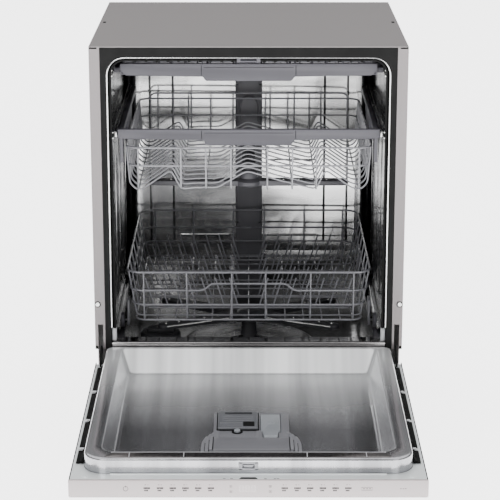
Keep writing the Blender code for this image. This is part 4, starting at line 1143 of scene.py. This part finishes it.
def build_dispenser():
    low, high = DISPENSER_LOW, DISPENSER_HIGH
    near, far, top = low.y, high.y, high.z
    bed = PAN_FLOOR + 0.4
    left, right = -62, 72
    lid_low, lid_high = span("detergent_lid")
    flap_low, flap_high = span("rinse_flap")
    button_low, button_high = span("lid_button")
    seat = top - 6.2
    form = Form()
    form.box((left, near, bed), (right, near + 58, top), 2.2, 3)
    walls = [(left, far - 126, -50.5, far), (12.5, far - 126, 20.5, far), (57.5, far - 126, right, far),
            (left, far - 9.5, right, far), (left, far - 126, 25, far - 81), (53, far - 126, right, far - 93)]
    for number, (x0, y0, x1, y1) in enumerate(walls, 1):
        form.box((x0, y0, bed), (x1, y1, top - 0.2 * number), 1.4)
    form.box((left + 2, near + 55, bed), (right - 2, far - 121, top - 1), 0.8)
    form.box((20.5, far - 121, bed), (57.5, far - 6, seat), 0.6)
    form.box((-58, far - 84, 169), (20, far - 8, 170.4), 0.4)
    for x0, x1 in ((-58, -50.2), (12.2, 20)):
        form.box((x0, far - 84, 169.2), (x1, far - 8, bed + 2), 0.5)
    for y0, y1 in ((far - 87, far - 80.2), (far - 9.8, far - 7.5)):
        form.box((-56, y0, 169.2), (19, y1, bed + 2), 0.5)
    piece("dispenser_moulding", form, "dispenser", "door", "dispenser")
    form = Form()
    for sign, edge in ((-1, left), (1, right)):
        for number, reach in enumerate((5.5, 12.5, 19.5)):
            height = top - 0.5 - 2.8 * number
            x = edge + sign * reach
            line = [(edge + sign * (reach - 6), near + 85 - 4 * number, height),
                    (x, near + 70 - 10 * number, height), (x + sign * 0.8, near + 30, height - 0.4),
                    (x + sign * 1.2, near + 4, height - 0.8)]
            path = soft_path(line, 20, 8)
            ribs = [(p.x, p.y) for p in path]
            inner = [(p.x - sign * 5.8, p.y) for p in reversed(path)]
            form.flat(ribs + inner, bed, height, 0.8)
    piece("dispenser_steps", form, "dispenser", "door")
    form = Form()
    for sign, edge in ((-1, left), (1, right)):
        for number, reach in enumerate((5.5, 12.5, 19.5)):
            x = edge + sign * (reach - 6)
            height = top - 0.9 - 2.8 * number
            form.tube([(x, near + 3, height), (x, near + 60 - 8 * number, height)], 1)
    for line in ([(lid_low.x - 1, lid_low.y - 0.6), (lid_low.x - 1, lid_high.y)],
            [(lid_low.x - 1, lid_low.y - 0.8), (lid_high.x + 1, lid_low.y - 0.8)],
            [(lid_high.x + 1, lid_low.y - 0.6), (lid_high.x + 1, lid_high.y)]):
        form.tube([(x, y, top + 0.2) for x, y in line], 1.1)
    form.ring([(6, top - 0.6), (9.8, top - 0.6), (9.2, top + 0.6), (6.4, top + 0.6)],
            ((button_low.x + button_high.x) / 2, (button_low.y + button_high.y) / 2, 0), 32)
    piece("dispenser_shadow_lines", form, "black", "door")
    form = Form()
    form.box(lid_low, lid_high, 1.6, 3)
    form.box((lid_low.x + 4, lid_low.y + 6, lid_high.z - 0.8), (lid_high.x - 28, lid_low.y + 26,
            lid_high.z + 1), 0.8)
    for y in (lid_low.y + 36, lid_low.y + 46, lid_low.y + 56):
        form.tube([(lid_low.x + 8, y, lid_high.z), (lid_high.x - 8, y, lid_high.z)], 0.9)
    piece("lid_moulding", form, "lid", "detergent_lid", "detergent_lid")
    # Painted shade: black patches laid on the lid where its slot and the gap by its edge lie in shade.
    form = Form()
    form.box((lid_high.x - 26, lid_low.y + 8, lid_high.z - 0.6), (lid_high.x - 6, lid_low.y + 30,
            lid_high.z + 0.4), 0.8)
    form.box((lid_low.x + 12, lid_high.y - 12, lid_high.z - 0.6),
            (lid_high.x - 10, lid_high.y - 7, lid_high.z + 0.5), 0.6)
    piece("lid_slot_shade", form, "black", "detergent_lid")
    form = Form()
    centre = ((button_low.x + button_high.x) / 2, (button_low.y + button_high.y) / 2, 0)
    form.turned([(0, button_low.z), (5.5, button_low.z), (5.5, button_high.z - 1), (4.6, button_high.z),
            (2.2, button_high.z - 0.6), (0, button_high.z - 0.8)], centre, 36)
    piece("button_cap", form, "flap", "lid_button", "lid_button")
    form = Form()
    tab = flap_low.y + 27.5
    form.flat([(flap_low.x, flap_high.y), (flap_low.x, tab), (flap_low.x + 4.5, tab - 2),
            (flap_low.x + 4.5, flap_low.y + 5), (flap_low.x + 9, flap_low.y), (flap_high.x - 9, flap_low.y),
            (flap_high.x - 4.5, flap_low.y + 5), (flap_high.x - 4.5, tab - 2), (flap_high.x, tab),
            (flap_high.x, flap_high.y)], flap_low.z, flap_high.z, 0.9)
    form.box((flap_low.x + 6, flap_low.y + 4, flap_high.z - 0.6),
            (flap_high.x - 6, flap_low.y + 10, flap_high.z + 0.5), 0.5)
    for x in (flap_low.x + 2.2, flap_high.x - 2.2):
        form.tube([(x, tab + 4, flap_high.z), (x, flap_high.y - 3, flap_high.z)], 0.7)
    form.ring([(6.2, flap_high.z - 0.6), (8, flap_high.z - 0.6), (7.6, flap_high.z + 0.4),
            (6.6, flap_high.z + 0.4)], ((flap_low.x + flap_high.x) / 2, (tab + flap_high.y) / 2, 0), 32)
    piece("flap_moulding", form, "flap", "rinse_flap", "rinse_flap")


LATCH_HALF = span("latch_housing")[1].x - 0.8
LATCH_LOW = span("latch_housing")[0].z + 0.8
LATCH_TOP = span("latch_housing")[1].z - 0.8
PAN_FLOOR = 185
KEY_X = -203
KEY_MARKS = (-168, -146, -125, -104, -83, -62, 60, 81, 102, 123, 144, 165)

build_liner()
build_door_shell()
build_side_trims()
build_rim_strip()
build_latch_parts()
build_control_strip()
build_hinge_arms()
build_dispenser()


# ---------------------------------------------------------------- casing and base
def build_sound_mats():
    form = Form()
    low_z, high_z = TRACK + 20, CEILING - 15
    back = TUB_HIGH.y
    form.box((-INNER + 10, back + 0.2, low_z), (INNER - 10, back + 2.2, high_z), 1)
    for sign in (-1, 1):
        form.box((sign * (TUB_HIGH.x + 0.3), FRONT + 60, low_z), (sign * (TUB_HIGH.x + 4.5), REAR - 15,
                high_z), 1.5)
    form.box((-INNER + 20, FRONT + 50, TUB_HIGH.z + 0.2), (INNER - 20, REAR - 20, TUB_HIGH.z + 4), 1.5)
    piece("sound_mats", form, "felt", "cabinet")
    form = Form()
    for z in (330, 500, 680):
        form.box((-INNER + 4, back + 1.8, z - 9), (INNER - 4, back + 3.2, z + 9), 0.4)
        for x in spread(-INNER + 30, INNER - 30, 7):
            form.box((x - 6, back + 2.8, z - 1.2), (x + 6, back + 3.7, z + 1.2), 0.4)
    for x in (-130, 130):
        form.box((x - 8, back + 1.6, low_z + 10), (x + 8, back + 2.8, high_z - 10), 0.4)
    piece("mat_straps", form, "dark", "cabinet")


def build_casing_details():
    wide = TOP_HIGH.x
    back = TOP_HIGH.y
    side = span("right_panel")[0].z
    form = Form()
    turn = ALONG_X
    for sign in (-1, 1):
        for y in (FRONT + 110, back - 30):
            for z in (side + 30, 420, 760):
                form.turned([(0, -0.6), (4.6, -0.6), (4.6, 0.8), (3, 1.4), (0, 1.4)], (sign * wide, y, z), 20,
                        turn if sign > 0 else turn @ Matrix.Rotation(pi, 4, "X"))
    for x in (-200, 0, 200):
        spot = (x, back - 12, TOP_HIGH.z)
        form.turned([(0, -0.4), (4.4, -0.4), (4.4, 0.3), (2.8, 0.5), (0, 0.2)], spot, 20)
    piece("casing_screws", form, "steel", "cabinet")
    # Painted shade: black strips laid on the side panels where the vent slots lie in shade.
    form = Form()
    for sign in (-1, 1):
        xs = sorted((sign * (wide - 0.4), sign * (wide + 0.3)))
        for step in range(5):
            z = side + 70 + 12 * step
            form.box((xs[0], back - 150, z), (xs[1], back - 80, z + 4), 0.3)
    piece("side_vent_shade", form, "black", "cabinet")
    form = Form()
    for sign in (-1, 1):
        form.box((sign * (wide - 12.5), back - 1.6, side + 2), (sign * (wide - 0.6), back - 0.4,
                TOP_LOW.z - 1), 0.3)
        form.box((sign * (wide - 1.6), FRONT + 2, TOP_LOW.z - 16),
                (sign * (wide - 0.1), back - 2, TOP_LOW.z - 0.6), 0.3)
    form.box((-wide + 1, back - 1.6, TOP_LOW.z - 14), (wide - 1, back - 0.2, TOP_HIGH.z - 0.4), 0.3)
    piece("casing_hems", form, "casing", "cabinet")


def build_base_details():
    low, high = span("base_tray")
    form = Form()
    for x in spread(low.x + 30, high.x - 30, 16):
        form.box((x - 1.5, high.y - 1 - 4.5, low.z + 4), (x + 1.5, high.y - 3, high.z - 125), 0.5)
        form.box((x - 1.2, low.y + 30, low.z - 1), (x + 1.2, high.y - 30, low.z + 0.6), 0.4)
    for y in spread(low.y + 40, high.y - 40, 12):
        for sign in (-1, 1):
            form.box((sign * high.x, y - 1.5, low.z + 6), (sign * (high.x + 1.2), y + 1.5, 94), 0.5)
        form.box((low.x + 30, y - 1.2, low.z - 1), (high.x - 30, y + 1.2, low.z + 0.6), 0.4)
    piece("base_ribs", form, "dark", "cabinet")
    low, high = span("plinth")
    form = Form()
    form.box(low, high, 1)
    form.box((low.x + 4, low.y - 0.4, high.z - 8), (high.x - 4, low.y + 1, high.z - 6.6), 0.3)
    for x in (low.x + 60, 0, high.x - 60):
        spot = (x, low.y, high.z - 30)
        form.turned([(0, -0.2), (4.2, -0.2), (4, 0.8), (2, 1), (0, 0.4)], spot, 20, ALONG_Y)
    piece("plinth_sheet", form, "casing", "cabinet", "plinth")
    form = Form()
    form.box((low.x + 2, low.y + 0.2, 1.5), (high.x - 2, high.y - 0.6, low.z + 4), 0.5)
    piece("plinth_seal", form, "rubber", "cabinet")


def build_feet():
    for number in (1, 2, 3, 4):
        name = f"foot_{number}"
        low, high = span(name)
        x, y = (low.x + high.x) / 2, (low.y + high.y) / 2
        form = Form()
        form.turned([(0, 0), (17.2, 0), (18, 1.2), (18, 6.2), (16, 8.2), (10, 9.6), (6, 12), (0, 12)],
                (x, y, 0), 36)
        outline = [(x + 9.2 * cos(pi / 3 * i), y + 9.2 * sin(pi / 3 * i)) for i in range(6)]
        form.flat(outline, 9, 13, 0.6)
        profile = [(0, 11.5)]
        for step in range(26):
            z = 12.5 + 1.8 * step
            profile += [(5, z), (5.9, z + 0.9)]
        profile += [(5, high.z - 0.4), (0, high.z)]
        form.turned(profile, (x, y, 0), 20)
        piece(name + "_screw", form, "dark", name, name)


def build_pumps():
    for name, paint in (("wash_pump", "dark"), ("drain_pump", "dark"), ("inlet_valve", "white")):
        low, high = span(name)
        x, z = (low.x + high.x) / 2, (low.z + high.z) / 2
        wide = (high.x - low.x) / 2
        long = high.y - low.y
        tilt = Matrix.Rotation(-pi / 2, 4, "X")
        where = (x, low.y, z)
        form = Form()
        if name == "inlet_valve":
            profile = [(0, 0), (wide * 0.9, 0), (wide, 2), (wide, 38), (wide * 0.7, 40)]
            for step in range(8):
                profile += [(11.4, 41 + 2 * step), (12.7, 42 + 2 * step)]
            profile += [(11.4, long), (0, long)]
            form.turned(profile, where, 32, tilt)
            form.box((x - 10, low.y + 8, z + 10), (x + 10, low.y + 32, z + wide - 0.3), 1.5)
        else:
            neck = wide * (0.84 if name == "wash_pump" else 0.7)
            step_at = 30 if name == "wash_pump" else 50
            profile = [(0, 0), (wide - 3, 0), (wide, 3), (wide, step_at - 2), (neck, step_at + 4)]
            count = 10 if name == "wash_pump" else 4
            pitch = (long - step_at - 12) / count
            for step in range(count):
                start = step_at + 6 + pitch * step
                profile += [(neck - 1.8, start), (neck - 1.8, start + pitch * 0.4),
                        (neck, start + pitch * 0.5), (neck, start + pitch * 0.9)]
            profile += [(neck - 3, long - 1), (neck * 0.5, long), (0, long)]
            form.turned(profile, where, 40, tilt)
            form.box((x - 8, low.y + step_at + 10, z - neck + 0.4),
                    (x + 8, low.y + step_at + 26, z - neck + 6), 1)
        piece(name + "_body", form, paint, "cabinet", name)
    low, high = span("softener")
    form = Form()
    form.box(low, high, 6, 3)
    for y in spread(low.y + 16, high.y - 16, 9):
        form.box((low.x - 0.6, y - 1.4, low.z + 6), (high.x + 0.6, y + 1.4, high.z - 4), 0.6)
    piece("softener_tank", form, "white", "cabinet", "softener")
    for name in ("spring_left", "spring_right"):
        low, high = span(name)
        x, z = (low.x + high.x) / 2, (low.z + high.z) / 2
        form = Form()
        turns, steps = 52, 12
        start, length = low.y + 12, high.y - low.y - 24
        line = [(x + 7.6 * cos(2 * pi * i / steps), start + length * i / (turns * steps),
                z + 7.6 * sin(2 * pi * i / steps)) for i in range(turns * steps + 1)]
        form.tube(line, 1.2, sides=6)
        for end, edge in ((start, low.y), (start + length, high.y)):
            form.tube([(x + 7.6, end, z), (x + 3, (end + edge) / 2, z),
                    (x, edge + copysign(1.5, end - edge), z)], 1.2, sides=6)
        piece(name + "_coil", form, "steel", "cabinet", name)


def build_sump_details():
    low, high = span("sump")
    x, y = (low.x + high.x) / 2, (low.y + high.y) / 2
    form = Form()
    form.uprights((low + high) / 2, 110.2, 16, low.z + 3, high.z - 4, 2.2, 6)
    form.ring([(60, low.z - 1.2), (64, low.z - 1.2), (64, low.z + 0.6), (60, low.z + 0.6)], (x, y, 0), 48)
    piece("sump_ribs", form, "dark", "cabinet")
    low, high = span("arm_post")
    x, y = (low.x + high.x) / 2, (low.y + high.y) / 2
    wide = (high.x - low.x) / 2
    form = Form()
    profile = [(0, low.z), (wide, low.z), (wide, low.z + 60), (wide - 2, low.z + 66),
            (wide - 3, high.z - 10), (wide - 1, high.z - 8), (wide - 1, high.z - 1), (0, high.z)]
    form.turned(profile, (x, y, 0), 40)
    piece("arm_post_column", form, "dark", "cabinet", "arm_post")


def build_rails():
    """Telescopic rails with a rolled section and ball cage slots."""
    for name in ("tray_rail_left", "tray_rail_right", "upper_rail_left", "upper_rail_right"):
        low, high = span(name)
        sign = 1 if low.x > 0 else -1
        inner, outer = (low.x, high.x) if sign > 0 else (high.x, low.x)
        form = Form()
        for z0, z1 in ((low.z, low.z + 3), (high.z - 3, high.z)):
            form.box((inner, low.y, z0), (outer, high.y, z1), 0.9)
        form.box((inner + sign * 4, low.y + 1, low.z + 2.4), (outer, high.y, high.z - 2.4), 0.6)
        for y in spread(low.y + 10, high.y - 10, 24):
            form.box((inner + sign * 2.6, y - 4, (low.z + high.z) / 2 - 1.6),
                    (inner + sign * 4.2, y + 4, (low.z + high.z) / 2 + 1.6), 0.6)
        piece(name + "_section", form, "steel", "cabinet", name)
    for name in ("upper_slide_left", "upper_slide_right"):
        low, high = span(name)
        form = Form()
        form.box(low, high, 0.9)
        for y in spread(low.y + 12, high.y - 12, 18):
            form.box((low.x - 0.2, y - 4.5, (low.z + high.z) / 2 - 1.4),
                    (high.x + 0.2, y + 4.5, (low.z + high.z) / 2 + 1.4), 0.6)
        piece(name + "_section", form, "steel", "upper_slides", name)
    low, high = span("upper_feed")
    form = Form()
    middle = span("middle_spray_arm")
    hub = ((middle[0].x + middle[1].x) / 2, (middle[0].y + middle[1].y) / 2, 0)
    form.turned([(0, low.z), (17.5, low.z), (18, low.z + 2), (18, high.z - 18), (15, high.z - 12),
            (0, high.z - 12)], hub, 36)
    path = [(hub[0], hub[1], high.z - 8.5), (hub[0], high.y, high.z - 8.5)]
    form.tube(path, 7.8, sides=20)
    for y in spread(hub[1] + 30, high.y - 10, 6):
        form.ring([(6, -1.6), (8.3, -1.6), (8.3, 1.6), (6, 1.6)], (0, y, high.z - 8.5), 20, ALONG_Y)
    form.box((low.x + 4, hub[1] + 10, high.z - 1.8), (high.x - 4, high.y - 4, high.z), 0.6)
    piece("upper_feed_pipe", form, "duct", "upper_rack", "upper_feed")
    for name in ("seal_peg_left", "seal_peg_right"):
        low, high = span(name)
        form = Form()
        form.box((low.x, low.y + 1, low.z), (high.x, high.y, high.z), 2.2, 3)
        form.box((low.x + 1, low.y, low.z + 4), (high.x - 1, low.y + 3, high.z - 6), 1)
        piece(name + "_cap", form, "pale", "cabinet", name)
    low, high = SILL_LOW, SILL_HIGH
    form = Form()
    form.box(low, high, 1.6, 3)
    form.tube([(low.x + 20, low.y + 0.2, high.z - 5), (high.x - 20, low.y + 0.2, high.z - 5)], 0.8)
    piece("sill_strip", form, "sill_strip", "cabinet", "sill")


build_sound_mats()
build_casing_details()
build_base_details()
build_feet()
build_pumps()
build_sump_details()
build_rails()


# ---------------------------------------------------------------- studio
def studio():
    bpy.ops.mesh.primitive_plane_add(size=1.0)
    floor = bpy.context.object
    floor.name = "studio_floor"
    floor.scale = (80, 80, 1)
    floor.location = (0, 0, -0.001)
    pale = Nodes("studio_white", (0.93, 0.93, 0.93), 0.7)
    pale.set("Emission Color", (1.0, 1.0, 1.0, 1.0))
    pale.set("Emission Strength", 3.40)
    floor.data.materials.append(pale.material)
    world = bpy.data.worlds.new("studio")
    bpy.context.scene.world = world
    world.use_nodes = True
    tree = world.node_tree
    ground = tree.nodes["Background"]
    ground.inputs["Strength"].default_value = 0.60
    where = tree.nodes.new("ShaderNodeTexCoord")
    axes = tree.nodes.new("ShaderNodeSeparateXYZ")
    ramp = tree.nodes.new("ShaderNodeMapRange")
    tree.links.new(where.outputs["Generated"], axes.inputs["Vector"])
    tree.links.new(axes.outputs["Z"], ramp.inputs["Value"])
    ramp.inputs["From Min"].default_value = 0.0
    ramp.inputs["From Max"].default_value = 0.75
    ramp.inputs["To Min"].default_value = 0.16
    ramp.inputs["To Max"].default_value = 1.0
    tree.links.new(ramp.outputs["Result"], ground.inputs["Color"])
    for name, place, size, power in (("sky", (0.0, 1.0, 6.0), 12.0, 640), ("key", (-1.3, -3.6, 2.0), 1.6, 40),
            ("fill", (1.8, -3.4, 1.2), 1.4, 18)):
        data = bpy.data.lights.new(name, "AREA")
        data.size = size
        data.energy = power
        lamp = bpy.data.objects.new(name, data)
        lamp.location = place
        aim = Vector((0, 0.1, 0.35)) - Vector(place)
        lamp.rotation_euler = aim.to_track_quat("-Z", "Y").to_euler()
        bpy.context.scene.collection.objects.link(lamp)


def camera():
    data = bpy.data.cameras.new("camera")
    data.lens = 135.35
    data.sensor_width = 36.0
    made = bpy.data.objects.new("camera", data)
    made.location = (0.0026, FRONT * MM - 3.4704, 1.4262)
    made.rotation_euler = (radians(90 - 16.158), 0, 0)
    bpy.context.scene.collection.objects.link(made)
    bpy.context.scene.camera = made


studio()
camera()
